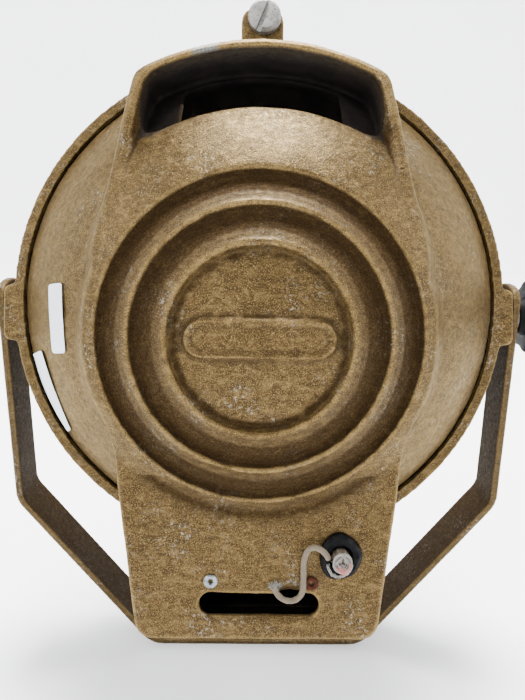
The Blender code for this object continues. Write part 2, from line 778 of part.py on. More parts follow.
def cord(name, points, radius, count, mat, carrier, resolution=2):
    """A round cord as a bevelled curve through the route's points."""
    curve = bpy.data.curves.new(name, "CURVE")
    curve.dimensions = "3D"
    spline = curve.splines.new("POLY")
    path = smooth_path(points, count)
    spline.points.add(len(path) - 1)
    for point, p in zip(spline.points, path):
        point.co = (*p, 1.0)
    curve.bevel_depth = radius
    curve.bevel_resolution = resolution
    curve.use_fill_caps = True
    curve.materials.append(mat)
    o = bpy.data.objects.new(name, curve)
    bpy.context.scene.collection.objects.link(o)
    hang(o, carrier)
    return o


def build_label(centre, width, height, turn):
    """A paper label that follows the dome. centre is (x, z)."""
    nx, nz = 4, 6
    layers = []
    for proud in (GAP, GAP + 0.0002):
        for i in range(nx + 1):
            for j in range(nz + 1):
                u, v = (i / nx - 0.5) * width, (j / nz - 0.5) * height
                x = centre[0] + u * cos(turn) - v * sin(turn)
                z = centre[1] + u * sin(turn) + v * cos(turn)
                layers.append((x, dome_y(x, z, proud), z))
    layer = (nx + 1) * (nz + 1)

    def at(i, j, k):
        return k * layer + i * (nz + 1) + j

    faces = []
    for i in range(nx):
        for j in range(nz):
            for k in (0, 1):
                faces.append((at(i, j, k), at(i + 1, j, k), at(i + 1, j + 1, k), at(i, j + 1, k)))
    for i in range(nx):
        for j in (0, nz):
            faces.append((at(i, j, 0), at(i + 1, j, 0), at(i + 1, j, 1), at(i, j, 1)))
    for j in range(nz):
        for i in (0, nx):
            faces.append((at(i, j, 0), at(i, j + 1, 0), at(i, j + 1, 1), at(i, j, 1)))
    return mesh_from(layers, faces)


def build_hood_baffle():
    """Curved sheet under the vent that keeps stray light in."""
    t = 0.0010
    low, high = 0.0760, 0.0770
    span = 32
    outline = arc(0, 0, high, 90 + span, 90 - span, 10) + arc(0, 0, low, 90 - span, 90 + span, 10)
    sheet = prism(outline, -0.0360, 0.0060)
    steps = []
    for side in (-1, 1):
        x0, x1 = sorted((side * 0.0340, side * (0.0340 + t)))
        steps.append(("UNION", block(x0, x1, -0.0330, -0.0080, 0.0675, 0.0835)))
    return carve(sheet, *steps)


# ---- sliding focus carriage ------------------------------------------------------------------------
def build_carriage_plate():
    front = TRAY_FRONT_Y - WALL - SLIDE_TRAVEL - 0.0010
    plate = block(-0.0400, 0.0400, -0.0065, front, CARRIAGE_Z - 0.0020, CARRIAGE_Z)
    return carve(plate, ("DIFFERENCE", moved(rod(0.0033, -0.2, 0.2, 12, "Z"), y=KNOB_Y)))


def build_lamp_holder():
    profile = [(0, 0), (0.0190, 0), (0.0190, 0.0060), (0.0160, 0.0080), (0.0160, 0.0290),
               (0.0105, 0.0310), (0.0105, 0.0240), (0, 0.0240)]
    mesh = turned(profile, 20, False, "Z")
    return moved(mesh, y=FOCUS_Y, z=CARRIAGE_Z + GAP)


def build_lamp_cap():
    """Metal prefocus cap of the lamp, its foot in the holder."""
    profile = [(0, 0), (0.0092, 0), (0.0092, 0.0085), (0.0140, 0.0085), (0.0140, 0.0100),
               (0.0115, 0.0110), (0.0115, 0.0220), (0, 0.0220)]
    return moved(turned(profile, 20, False, "Z"), y=FOCUS_Y, z=CARRIAGE_Z + 0.0243 + 2 * GAP)


def build_lamp_glass():
    """Tubular bulb, open at its foot round the stem."""
    t = 0.0010

    def wall(r, top):
        points = [(0.0100 + r - BULB_R, BULB_Z), (r, BULB_Z + 0.0150)]
        for k in range(0, 4):
            a = pi / 2 * k / 4
            points.append((r * cos(a), top - r + r * sin(a)))
        return points

    outer, inner = wall(BULB_R, BULB_TOP), wall(BULB_R - t, BULB_TOP - t)
    segments = 14
    ring = list(reversed(inner)) + outer
    verts, faces = [], []
    for r, z in ring:
        for k in range(segments):
            a = 2 * pi * k / segments
            verts.append((r * sin(a), r * cos(a), z))
    for i in range(len(ring) - 1):
        for k in range(segments):
            m = (k + 1) % segments
            faces.append((i * segments + k, i * segments + m, (i + 1) * segments + m,
                          (i + 1) * segments + k))
    tips = len(verts)
    verts += [(0, 0, BULB_TOP - t), (0, 0, BULB_TOP)]
    final = (len(ring) - 1) * segments
    for k in range(segments):
        m = (k + 1) % segments
        faces.append((tips, m, k))
        faces.append((tips + 1, final + k, final + m))
    return moved(mesh_from(verts, faces), y=FOCUS_Y)


def build_filament():
    """Stem, two supports and a flat grid of coils at the lamp's centre."""
    low = BULB_Z + GAP
    stem = moved(rod(0.0050, low, low + 0.0200, 10, "Z"), y=FOCUS_Y)
    half = 0.0070
    steps = []
    for x in (-0.0038, 0.0038):
        support = moved(rod(0.0007, low + 0.0120, half + 0.0010, 6, "Z"), x=x, y=FOCUS_Y)
        steps.append(("UNION", support))
    steps.append(("UNION", block(-half, half, FOCUS_Y - 0.0010, FOCUS_Y + 0.0010, -half, half)))
    return carve(stem, *steps)


def build_terminal_block():
    """Porcelain block with two brass-lined wire holes."""
    low = CARRIAGE_Z + GAP
    body = block(TERMINAL_X - 0.0070, TERMINAL_X + 0.0070, 0.0100, 0.0340, low, TERMINAL_TOP)
    holes = [
        ("DIFFERENCE", moved(rod(0.0019, TERMINAL_TOP - 0.0060, TERMINAL_TOP + 0.001, 10, "Z"),
                             x=TERMINAL_X, y=y)) for y in (0.0160, 0.0280)
    ]
    return carve(body, *holes)


def lamp_lead_route(y):
    """From one hole of the terminal block, over in a loop, to the side of the lamp's holder."""
    return [
        (TERMINAL_X, y, TERMINAL_TOP - 0.0050), (TERMINAL_X, y, TERMINAL_TOP + 0.0020),
        (TERMINAL_X + 0.0025, y, TERMINAL_TOP + 0.0070), (TERMINAL_X + 0.0070, y, TERMINAL_TOP + 0.0080),
        (-0.0168, y + (FOCUS_Y - y) * 0.45, TERMINAL_TOP + 0.0060),
    ]


def build_reflector():
    """Spherical mirror centred on the filament."""
    radius, t = 0.0600, 0.0010
    widest = radians(44)
    steps = 5

    def bowl(r):
        angles = [widest * i / steps for i in range(steps + 1)]
        return [(r * sin(a), FOCUS_Y - r * cos(a)) for a in angles]

    return turned(bowl(radius + t) + list(reversed(bowl(radius))), 24, False)


def build_reflector_bracket():
    """Steel strip from the carriage up to the back of the mirror, (y, z) from the side."""
    t = 0.0015
    foot = CARRIAGE_Z + GAP
    outline = [
        (0.0024, foot), (-0.0060, foot), (-0.0060, -0.0640), (-0.0262, -0.0410),
        (-0.0250, -0.0400), (-0.0045, -0.0634), (-0.0045, foot + t), (0.0024, foot + t),
    ]
    return prism(outline, -0.0090, 0.0090, "X")


def build_focus_knob():
    """Knurled thumb nut under the tray that slides and clamps the carriage."""
    top = BOX_BOTTOM_Z - 0.0006
    count = 36
    grip = [
        ((0.0108 + 0.0005 * (-1) ** k) * cos(2 * pi * k / count),
         (0.0108 + 0.0005 * (-1) ** k) * sin(2 * pi * k / count)) for k in range(count)
    ]
    collar = rod(0.0075, top - 0.0030, top, 20, "Z")
    body = prism(grip, top - 0.0130, top - 0.0024, "Z")
    bore = rod(SCREW_R + GAP, top - 0.0078, top + 0.001, 12, "Z")
    return moved(carve(collar, ("UNION", body), ("DIFFERENCE", bore)), y=KNOB_Y)


# ---- assembling ----------------------------------------------------------------------------------
def main():
    clear_scene()
    tilt_axis = empty("tilt_axis", PIVOT, None, -REST_TILT)
    tilt_axis.location = (0.0, 0.0, YOKE_DROP)
    tilt_knob_axis = empty("tilt_knob_axis", PIVOT, tilt_axis)
    cover_axis = empty("cover_hinge_axis", HINGE, tilt_axis)
    screw_axis = empty("cover_screw_axis", (SCREW_X, 0, LUG_HOLE_Z), cover_axis)
    slide = empty("focus_slide_axis", (0, KNOB_Y, CARRIAGE_Z), tilt_axis)
    focus_axis = empty("focus_knob_axis", (0, KNOB_Y, CARRIAGE_Z), slide)

    # yoke
    add("yoke", build_yoke(), gold())

    # lamp housing
    add("front_housing", build_front_housing(), gold(), tilt_axis)
    glass = material("clear_glass", (0.85, 0.9, 0.9), 0.05, 0.0, 0.35)
    add("fresnel_lens", build_lens(), glass, tilt_axis)
    y = BARREL_FRONT_Y
    ring = [(LENS_R - 0.0030, y - 0.0040), (LENS_R + 0.0018, y - 0.0040),
            (LENS_R + 0.0018, y - 0.0020), (LENS_R - 0.0030, y - 0.0020)]
    add("lens_retaining_ring", turned(ring, 36), steel(), tilt_axis)
    left, right, bottom = build_colour_runners()
    add("colour_runner_left", left, black(), tilt_axis)
    add("colour_runner_right", right, black(), tilt_axis)
    add("colour_runner_bottom", bottom, black(), tilt_axis)
    add("pivot_bolt", build_pivot_bolt(), steel(), tilt_axis)
    stud = moved(rod(STUD_R, 0.1265, YOKE_HALF + 0.0160, 16, "X"), y=PIVOT_Y, z=PIVOT_Z)
    add("tilt_stud", stud, steel(), tilt_axis)
    disc = material("fibre", (0.16, 0.10, 0.06), 0.8)
    arm_face = YOKE_HALF - STRAP_T
    add("friction_disc_left", washer(-LUG_FACE - GAP, -arm_face + GAP, 0.0130), disc, tilt_axis)
    add("friction_disc_right", washer(LUG_FACE + GAP, arm_face - GAP, 0.0130), disc, tilt_axis)
    out = YOKE_HALF + GAP
    add("pivot_washer_left", washer(-out, -out - 0.0016, 0.0100), steel(), tilt_axis)
    add("pivot_washer_right", washer(out, out + 0.0016, 0.0100), steel(), tilt_axis)
    add("hinge_pin", build_hinge_pin(), steel(), tilt_axis)
    for name, x in (("focus_rail_left", -RAIL_X), ("focus_rail_right", RAIL_X)):
        rail = moved(rod(RAIL_R, 0.0060, TRAY_FRONT_Y + 0.0010, 12), x=x, z=RAIL_Z)
        add(name, rail, steel(), tilt_axis)

    # tilt knob
    add("tilt_knob", build_knob(), black(), tilt_knob_axis)

    # rear cover
    add("rear_housing", build_rear_housing(), gold(), cover_axis, 28)
    add("hood_baffle", build_hood_baffle(), black(), cover_axis)
    rusty = material("rusty_steel", (0.20, 0.09, 0.05), 0.8, 0.3)
    for name, (x, z), mat in zip(("plate_rivet_left", "plate_rivet_right"), RIVETS, (steel(), rusty)):
        add(name, moved(build_rivet(), x, 0, z), mat, cover_axis)
    rubber = material("black_rubber", (0.02, 0.02, 0.022), 0.6)
    add("cable_grommet", build_grommet(), rubber, cover_axis)
    add("supply_cable", build_supply_cable(), braid(), cover_axis)
    add("cable_cores", build_cable_cores(), braid(), cover_axis)
    cord("earth_lead", LEAD_ROUTE, LEAD_R, 20, braid(), cover_axis)
    paper = material("paper", (0.85, 0.86, 0.88), 0.7)
    add("label_upper", build_label((-0.0993, -0.0103), 0.0088, 0.0340, radians(2)), paper, cover_axis)
    add("label_lower", build_label((-0.1055, -0.0480), 0.0080, 0.0300, radians(22)), paper, cover_axis)
    add("cover_screw", build_cover_screw(), steel(), screw_axis)

    # focus carriage
    add("carriage_plate", build_carriage_plate(), steel(), slide)
    brass = material("brass", (0.6, 0.45, 0.2), 0.35, 0.9)
    for name, x in (("slide_bush_left", -RAIL_X), ("slide_bush_right", RAIL_X)):
        bush = tube(0.0052, RAIL_R + GAP, 0.0160, 0.0440, 12)
        add(name, moved(bush, x=x, z=RAIL_Z), brass, slide)
    add("lamp_holder", build_lamp_holder(), ceramic(), slide)
    add("terminal_block", build_terminal_block(), ceramic(), slide)
    for name, y in (("lamp_lead_rear", 0.0160), ("lamp_lead_front", 0.0280)):
        cord(name, lamp_lead_route(y), 0.0012, 8, braid(), slide)
    add("lamp_cap", build_lamp_cap(), steel(), slide)
    add("lamp_glass", build_lamp_glass(), glass, slide)
    add("lamp_filament", build_filament(), steel(), slide)
    add("reflector", build_reflector(), material("mirror", (0.9, 0.9, 0.9), 0.08, 1.0), slide)
    add("reflector_bracket", build_reflector_bracket(), steel(), slide)

    # focus knob
    shank = moved(rod(SCREW_R, BOX_BOTTOM_Z - 0.0080, CARRIAGE_Z - GAP, 12, "Z"), y=KNOB_Y)
    add("focus_screw", shank, steel(), focus_axis)
    add("focus_knob", build_focus_knob(), black(), focus_axis)


main()
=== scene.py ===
"""Looks of the fresnel spotlight, laid over its CAD frame.

Units are metres and +Z is up. Shapes are drawn in the lamp's own frame, with X to the right,
Y along the beam, Z up and the origin at the centre of the ring's rear face. LAMP takes them to
the world, where the lamp hangs in its yoke, tipped nose-down.
"""

from math import acos, asin, atan2, cos, degrees, hypot, pi, radians, sin, sqrt
from random import Random

import bmesh
import bpy
import numpy as np
from mathutils import Matrix, Vector, noise


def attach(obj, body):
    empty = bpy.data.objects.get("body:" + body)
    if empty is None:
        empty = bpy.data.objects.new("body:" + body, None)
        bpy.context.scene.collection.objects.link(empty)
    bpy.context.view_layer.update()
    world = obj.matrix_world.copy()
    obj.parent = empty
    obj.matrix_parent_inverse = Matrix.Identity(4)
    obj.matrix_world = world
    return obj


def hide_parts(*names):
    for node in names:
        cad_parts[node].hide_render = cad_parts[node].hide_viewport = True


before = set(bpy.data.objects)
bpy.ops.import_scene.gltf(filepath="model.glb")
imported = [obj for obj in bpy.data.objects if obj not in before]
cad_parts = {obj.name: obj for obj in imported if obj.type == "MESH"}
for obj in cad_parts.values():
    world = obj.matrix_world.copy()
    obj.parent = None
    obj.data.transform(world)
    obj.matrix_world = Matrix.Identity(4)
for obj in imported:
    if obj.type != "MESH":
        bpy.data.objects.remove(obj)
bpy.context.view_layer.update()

# ---- sizes, those of the CAD model except where a comment says otherwise -------------------------
GAP = 0.0003           # clearance between pieces that touch
WALL = 0.0036          # wall of the castings
VOXEL = 0.0009
SIDES = ((-1, "left"), (1, "right"))

# ring, barrel and tray
RING_R = 0.130
RIM_WIDTH = 0.0056
LENS_R = 0.1000
BARREL_R = 0.1120
BARREL_FRONT_Y = 0.084
TRAY_FRONT_Y = 0.062
TRAY_TOP_Z = -0.1080
LUG_FACE = 0.1355      # outer face of the ring's side lugs

# tilt axis and yoke
PIVOT_Y = 0.0210
PIVOT_Z = -0.0050
REST_TILT = radians(15.1)
YOKE_DROP = 0.2100     # from the tilt axis to the foot's underside
YOKE_HALF = 0.1410     # outer half-width
STRAP_W = 0.0280
STRAP_T = 0.0039
ARM_TOP = 0.0180       # arm's end above the tilt axis
BEND_Z = 0.0990        # first bend above the foot's underside
FOOT_HALF = 0.0657
STRAP_HOLE_X = 0.034

# rear casting
DOME_BASE_R = 0.1228
DOME_RISE = 0.0660
PAD = 0.0060           # height of the pad above the dome
BOSS_Z = -0.0200       # centre of the ribs
RIB_OUTER_R = 0.0770
SHOULDER_R = 0.0800    # outside of the pad where it rounds the ribs
PLATE_Y = -0.0330      # rear face of the box
BOX_BOTTOM_Z = -0.1650
BOX_TOP_Z = -0.0980    # top of the space inside the box
LIP_Y = -0.0450        # plane of the hood's mouth
HOOD_R = 0.1197        # hood's roof, about the lamp's axis
HOOD_HALF = 0.0560     # half-width of the hood's mouth
HOOD_WALL = 0.0038     # 0.0042 in the CAD model
SILL_R = 0.1081        # lower edge of the mouth, about the boss; about the lamp's axis in the CAD model
SLOT_HALF = 0.0290
SLOT_R = 0.0056
SLOT_Z = -0.1480
SLOT_X = 0.0010
GROMMET_X = 0.0400
GROMMET_Z = -0.1235
RIVETS = ((-0.0225, -0.1365), (0.0262, -0.1372))

# hinge and screw of the cover
HINGE_Z = -0.1695
KNUCKLE_R = 0.0040
PIN_BORE = 0.0018
HINGE_LEAF = 0.0119    # half-length of the ring's middle knuckle
LUG_HOLE_Z = 0.1460
SCREW_X = 0.0010
LUG_BACK_Y = -0.0065    # rear face of the lug under the screw
SCREW_R = 0.0030       # cover screw and focus screw
STUD_R = 0.0040        # tilt stud and pivot bolt

# lens
LENS_BACK = 0.0745
LENS_EDGE = 0.0050     # thickness of the lens's rim
LENS_DOME_R = 0.0260
PRISM_HEIGHT = 0.0038
PRISMS = 14            # 5 in the CAD model

# lamp and its carriage
FOCUS_Y = 0.0220       # filament's place along the beam
CARRIAGE_Z = -0.1345   # top of the sliding plate
RAIL_X = 0.0300
RAIL_Z = -0.1460
RAIL_R = 0.0025
SLIDE_TRAVEL = 0.0120
KNOB_Y = 0.0300        # focus screw's place along the beam
BULB_Z = CARRIAGE_Z + 0.0475
BULB_TOP = 0.0420
BULB_R = 0.0185
BULB_FOOT_R = 0.0100
TERMINAL_X = -0.0300
TERMINAL_TOP = CARRIAGE_Z + 0.0130
TERMINAL_HOLES = ((0.0160, "rear"), (0.0280, "front"))

# cable and earth lead
CABLE_END = PLATE_Y - 0.0105
LEAD_R = 0.0015
LEAD_ROUTE = [
    (0.0336, -0.0424, -0.1222), (0.0322, -0.0432, -0.1200), (0.0300, -0.0430, -0.1180),
    (0.0270, -0.0412, -0.1174), (0.0240, -0.0390, -0.1196), (0.0224, -0.0374, -0.1250),
    (0.0222, -0.0366, -0.1320), (0.0221, -0.0366, -0.1380), (0.0208, -0.0368, -0.1420),
    (0.0172, -0.0370, -0.1443), (0.0130, -0.0370, -0.1438), (0.0099, -0.0368, -0.1414),
    (0.0082, -0.0366, -0.1382),
]

DOME_R = (DOME_BASE_R ** 2 + DOME_RISE ** 2) / (2 * DOME_RISE)
DOME_CENTRE_Y = DOME_R - DOME_RISE
LAMP = (
    Matrix.Translation((0, 0, YOKE_DROP)) @ Matrix.Rotation(-REST_TILT, 4, "X")
    @ Matrix.Translation((0, -PIVOT_Y, -PIVOT_Z))
)

# (radius, place along the beam) where the ring flares down to the barrel
FLARE = [(RING_R, 0.0200), (0.1275, 0.0240), (0.1165, 0.0310), (0.1130, 0.0345), (BARREL_R, 0.0400)]

# (distance from the boss's centre, depth below the pad) across the disc and the ribs
RIB_PROFILE = np.array([
    (0.0000, 0.0058), (0.0370, 0.0060), (0.0392, 0.0052), (0.0412, 0.0010), (0.0422, 0.0000),
    (0.0436, 0.0001), (0.0446, 0.0010), (0.0454, 0.0011), (0.0470, 0.0012), (0.0548, 0.0056),
    (0.0562, 0.0058), (0.0572, 0.0050), (0.0588, 0.0010), (0.0598, 0.0000), (0.0610, 0.0001),
    (0.0620, 0.0010), (0.0628, 0.0011), (0.0644, 0.0012), (0.0716, 0.0058), (0.0728, 0.0060),
    (0.0740, 0.0052), (0.0756, 0.0010), (0.0766, 0.0000), (0.0780, 0.0000),
])


# ---- mesh tools ----------------------------------------------------------------------------------
def mesh_from(verts, faces, name="piece"):
    """A mesh with its faces turned outwards."""
    bm = bmesh.new()
    made = [bm.verts.new(v) for v in verts]
    for face in faces:
        bm.faces.new([made[i] for i in face])
    bmesh.ops.recalc_face_normals(bm, faces=bm.faces)
    mesh = bpy.data.meshes.new(name)
    bm.to_mesh(mesh)
    bm.free()
    return mesh


def rounded(profile, radius, closed=True, steps=3):
    """The profile with its corners rounded; an open profile keeps its two ends."""
    n = len(profile)
    out = []
    for i, corner in enumerate(profile):
        if not closed and i in (0, n - 1):
            out.append(corner)
            continue
        c = Vector(corner)
        a = Vector(profile[i - 1]) - c
        b = Vector(profile[(i + 1) % n]) - c
        if a.length < 1e-7 or b.length < 1e-7:
            out.append(corner)
            continue
        half = a.angle(b) / 2
        if half > radians(85):
            out.append(corner)
            continue
        cut = min(radius / sin(half) * cos(half), 0.45 * a.length, 0.45 * b.length)
        start, end = c + a.normalized() * cut, c + b.normalized() * cut
        for s in range(steps + 1):
            t = s / steps
            out.append(tuple(start.lerp(c, t).lerp(c.lerp(end, t), t)))
    return out


def quads(rows, around, wrap=False):
    """Faces between rows of points round a body; wrap joins the last row to the first."""
    faces = []
    for i in range(rows if wrap else rows - 1):
        j = (i + 1) % rows
        for k in range(around):
            m = (k + 1) % around
            faces.append((i * around + k, i * around + m, j * around + m, j * around + k))
    return faces


def capped(points, around, first, last):
    """A body from rows of points round it and the two points that end it."""
    faces = quads(len(points) // around, around)
    end, base = len(points), len(points) - around
    for k in range(around):
        m = (k + 1) % around
        faces += [(end, m, k), (end + 1, base + k, base + m)]
    return mesh_from(points + [first, last], faces)


def turned(profile, segments, closed=True, axis="Y"):
    """A turned solid. profile lists (radius, place along the axis)."""
    angles = [2 * pi * k / segments for k in range(segments)]
    verts = [(r * sin(a), y, r * cos(a)) for r, y in (profile if closed else profile[1:-1]) for a in angles]
    if closed:
        mesh = mesh_from(verts, quads(len(profile), segments, True))
    else:
        mesh = capped(verts, segments, (0, profile[0][1], 0), (0, profile[-1][1], 0))
    if axis == "X":
        mesh.transform(Matrix.Rotation(-pi / 2, 4, "Z"))
    if axis == "Z":
        mesh.transform(Matrix.Rotation(pi / 2, 4, "X"))
    return mesh


def on_axis(axis, place, angle, r):
    """A point at a radius and an angle round one of the axes."""
    a, b = r * sin(angle), r * cos(angle)
    return {"X": (place, -a, b), "Y": (a, place, b), "Z": (a, -b, place)}[axis]


def skin(rows, around, at):
    """A closed skin through the points at(row, column); a fan closes each end."""
    verts = [Vector(at(i, k)) for i in range(rows) for k in range(around)]
    faces = quads(rows, around)
    for first in (0, (rows - 1) * around):
        centre = len(verts)
        verts.append(sum(verts[first:first + around], Vector()) / around)
        faces += [(centre, first + (k + 1) % around, first + k) for k in range(around)]
    return mesh_from(verts, faces)


def swept(rings, around, reach):
    """A skin round a path of (point, side, up); reach(row, angle) is its radius there."""
    def at(i, k):
        p, side, up = rings[i]
        a = 2 * pi * k / around
        return p + (side * cos(a) + up * sin(a)) * reach(i, a)

    return skin(len(rings), around, at)


def tube(outer, inner, start, end, segments=64, axis="Y", edge=0.0002):
    profile = [(inner, start), (outer, start), (outer, end), (inner, end)]
    return turned(rounded(profile, edge), segments, True, axis)


def threaded(radius, start, end, pitch, axis="Y", depth=0.00035):
    """A round bar with a screw thread that runs out in a chamfer at both ends."""
    around = 32
    rows = max(8, int((end - start) / pitch * 8))

    def at(i, k):
        place = start + (end - start) * i / (rows - 1)
        angle = 2 * pi * k / around
        wave = 0.5 + 0.5 * cos(2 * pi * place / pitch - angle)
        chamfer = max(0.0, 0.0006 - min(place - start, end - place))
        return on_axis(axis, place, angle, radius - depth * wave - chamfer)

    return skin(rows, around, at)


def joined(*meshes):
    """Several bodies in one mesh."""
    bm = bmesh.new()
    for mesh in meshes:
        bm.from_mesh(mesh)
    result = bpy.data.meshes.new("piece")
    bm.to_mesh(result)
    bm.free()
    return result


def moved(mesh, x=0.0, y=0.0, z=0.0):
    mesh.transform(Matrix.Translation((x, y, z)))
    return mesh


def rod(radius, start, end, segments=48, axis="Y", edge=0.0):
    """A round bar along one axis, its two edges rounded when edge is given."""
    profile = [(0, start), (radius, start), (radius, end), (0, end)]
    if edge:
        profile = rounded(profile, edge, False)
    return turned(profile, segments, False, axis)


def prism(outline, start, end, axis="Y"):
    def at(p, s):
        return {"Y": (p[0], s, p[1]), "X": (s, p[0], p[1]), "Z": (p[0], p[1], s)}[axis]

    n = len(outline)
    verts = [at(p, start) for p in outline] + [at(p, end) for p in outline]
    faces = [tuple(range(n)), tuple(range(n, 2 * n))]
    faces += [(i, (i + 1) % n, n + (i + 1) % n, n + i) for i in range(n)]
    return mesh_from(verts, faces)


def block(x0, x1, y0, y1, z0, z1):
    return prism([(x0, z0), (x1, z0), (x1, z1), (x0, z1)], y0, y1)


def arc(cx, cz, r, start, end, steps):
    """Points on an arc, angles in degrees from +X towards +Z."""
    return [
        (cx + r * cos(radians(start + (end - start) * i / steps)),
         cz + r * sin(radians(start + (end - start) * i / steps)))
        for i in range(steps + 1)
    ]


def mirrored(right):
    """The left-hand side of a symmetric outline, from the bottom up."""
    return [(-x, z) for x, z in reversed(right)]


def both_sides(right):
    """A symmetric outline, from its right-hand side's points listed from the top down."""
    left = mirrored(right)
    return left[-1:] + right + left[:-1]


def resampled(points, count):
    """Evenly spaced points round a closed line."""
    p = np.array(points + points[:1])
    run = np.concatenate([[0.0], np.cumsum(np.hypot(*np.diff(p, axis=0).T))])
    want = np.linspace(0.0, run[-1], count, endpoint=False)
    return np.stack([np.interp(want, run, p[:, 0]), np.interp(want, run, p[:, 1])], axis=1)


def evaluated(work):
    """The object's mesh with its modifiers applied; the object is removed."""
    graph = bpy.context.evaluated_depsgraph_get()
    result = bpy.data.meshes.new_from_object(work.evaluated_get(graph))
    bpy.data.objects.remove(work, do_unlink=True)
    return result


def temporary(mesh):
    o = bpy.data.objects.new("work", mesh)
    bpy.context.scene.collection.objects.link(o)
    return o


ADD, CUT, KEEP = "UNION", "DIFFERENCE", "INTERSECT"


def carve(base, *steps):
    """Works the (operation, mesh) steps into base one after the other."""
    work = temporary(base)
    tools = []
    for operation, mesh in steps:
        tool = temporary(mesh)
        tools.append(tool)
        modifier = work.modifiers.new(operation.lower(), "BOOLEAN")
        modifier.operation = operation
        modifier.solver = "EXACT"
        modifier.object = tool
    result = evaluated(work)
    for tool in tools:
        bpy.data.objects.remove(tool, do_unlink=True)
    return result


def remeshed(mesh, voxel, passes):
    """One even skin over the mesh, its edges softened as in a casting."""
    work = temporary(mesh)
    modifier = work.modifiers.new("remesh", "REMESH")
    modifier.mode = "VOXEL"
    modifier.voxel_size = voxel
    smooth = work.modifiers.new("smooth", "SMOOTH")
    smooth.factor = 0.5
    smooth.iterations = passes
    return evaluated(work)


def softened(mesh, width, angle=30.0, segments=2):
    """The mesh with its sharp edges bevelled."""
    work = temporary(mesh)
    modifier = work.modifiers.new("bevel", "BEVEL")
    modifier.width = width
    modifier.segments = segments
    modifier.limit_method = "ANGLE"
    modifier.angle_limit = radians(angle)
    modifier.harden_normals = False
    return evaluated(work)


def drilled(radius, start, end, segments=48, axis="Y", **place):
    """The step that cuts a round hole."""
    return CUT, moved(rod(radius, start, end, segments, axis), **place)


def across(side, near, far):
    """A stretch of X on one side of the lamp, the smaller end first."""
    return sorted((side * near, side * far))


def points_of(mesh, kind="co"):
    values = np.empty(len(mesh.vertices) * 3)
    mesh.vertices.foreach_get(kind, values)
    return values.reshape(-1, 3)


def roughen(mesh, size, amount, seed=0.0):
    """Moves each point along its normal by smooth noise, as a sand mould leaves it."""
    co = points_of(mesh)
    shift = Vector((seed, seed, seed))
    lift = np.array([noise.noise(Vector(p) / size + shift) for p in co]) * amount
    mesh.vertices.foreach_set("co", (co + points_of(mesh, "normal") * lift[:, None]).ravel())
    mesh.update()
    return mesh


def write_attributes(mesh, **values):
    """One number per point under each name, for the materials."""
    for name, value in values.items():
        layer = mesh.attributes.new(name, "FLOAT", "POINT")
        layer.data.foreach_set("value", np.broadcast_to(value, len(mesh.vertices)).astype(np.float32))


def mark(mesh):
    """Writes the attributes "edge" and "groove": how sharply the skin bends out or in."""
    co = points_of(mesh)
    n = len(co)
    ends = np.empty(len(mesh.edges) * 2, dtype=np.int32)
    mesh.edges.foreach_get("vertices", ends)
    a, b = ends.reshape(-1, 2).T
    count = np.maximum(np.bincount(a, minlength=n) + np.bincount(b, minlength=n), 1)

    def average(v):
        return (np.bincount(a, v[b], n) + np.bincount(b, v[a], n)) / count

    near = co
    for _ in range(2):
        near = np.stack([average(near[:, i]) for i in range(3)], axis=1)
    bend = ((near - co) * points_of(mesh, "normal")).sum(1)
    for _ in range(2):
        bend = average(bend)
    length = np.linalg.norm(co[a] - co[b], axis=1).mean()
    bend = bend / length
    write_attributes(mesh, edge=np.clip(bend * -4.0, 0.0, 1.0), groove=np.clip(bend * 4.0, 0.0, 1.0))


def ease(t):
    """0 to 1, smooth at both ends."""
    t = np.clip(t, 0.0, 1.0)
    return t * t * (3 - 2 * t)


def lower(a, b, blend):
    """The lower of two surfaces, blended where they are close."""
    h = np.clip(0.5 + 0.5 * (b - a) / blend, 0.0, 1.0)
    return b * (1 - h) + a * h - blend * h * (1 - h)


def piece(name, mesh, mat, body, slot, *nodes, lamp=True, sharp=38.0):
    """A finished piece: it rides on a body and stands for the named CAD nodes."""
    if lamp:
        mesh.transform(LAMP)
    mesh.name = name
    mesh.materials.clear()
    mesh.materials.append(mat)
    mesh.shade_smooth()
    mesh.set_sharp_from_angle(angle=radians(sharp))
    o = bpy.data.objects.new(name, mesh)
    bpy.context.scene.collection.objects.link(o)
    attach(o, body)
    if nodes:
        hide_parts(*nodes)
    return o


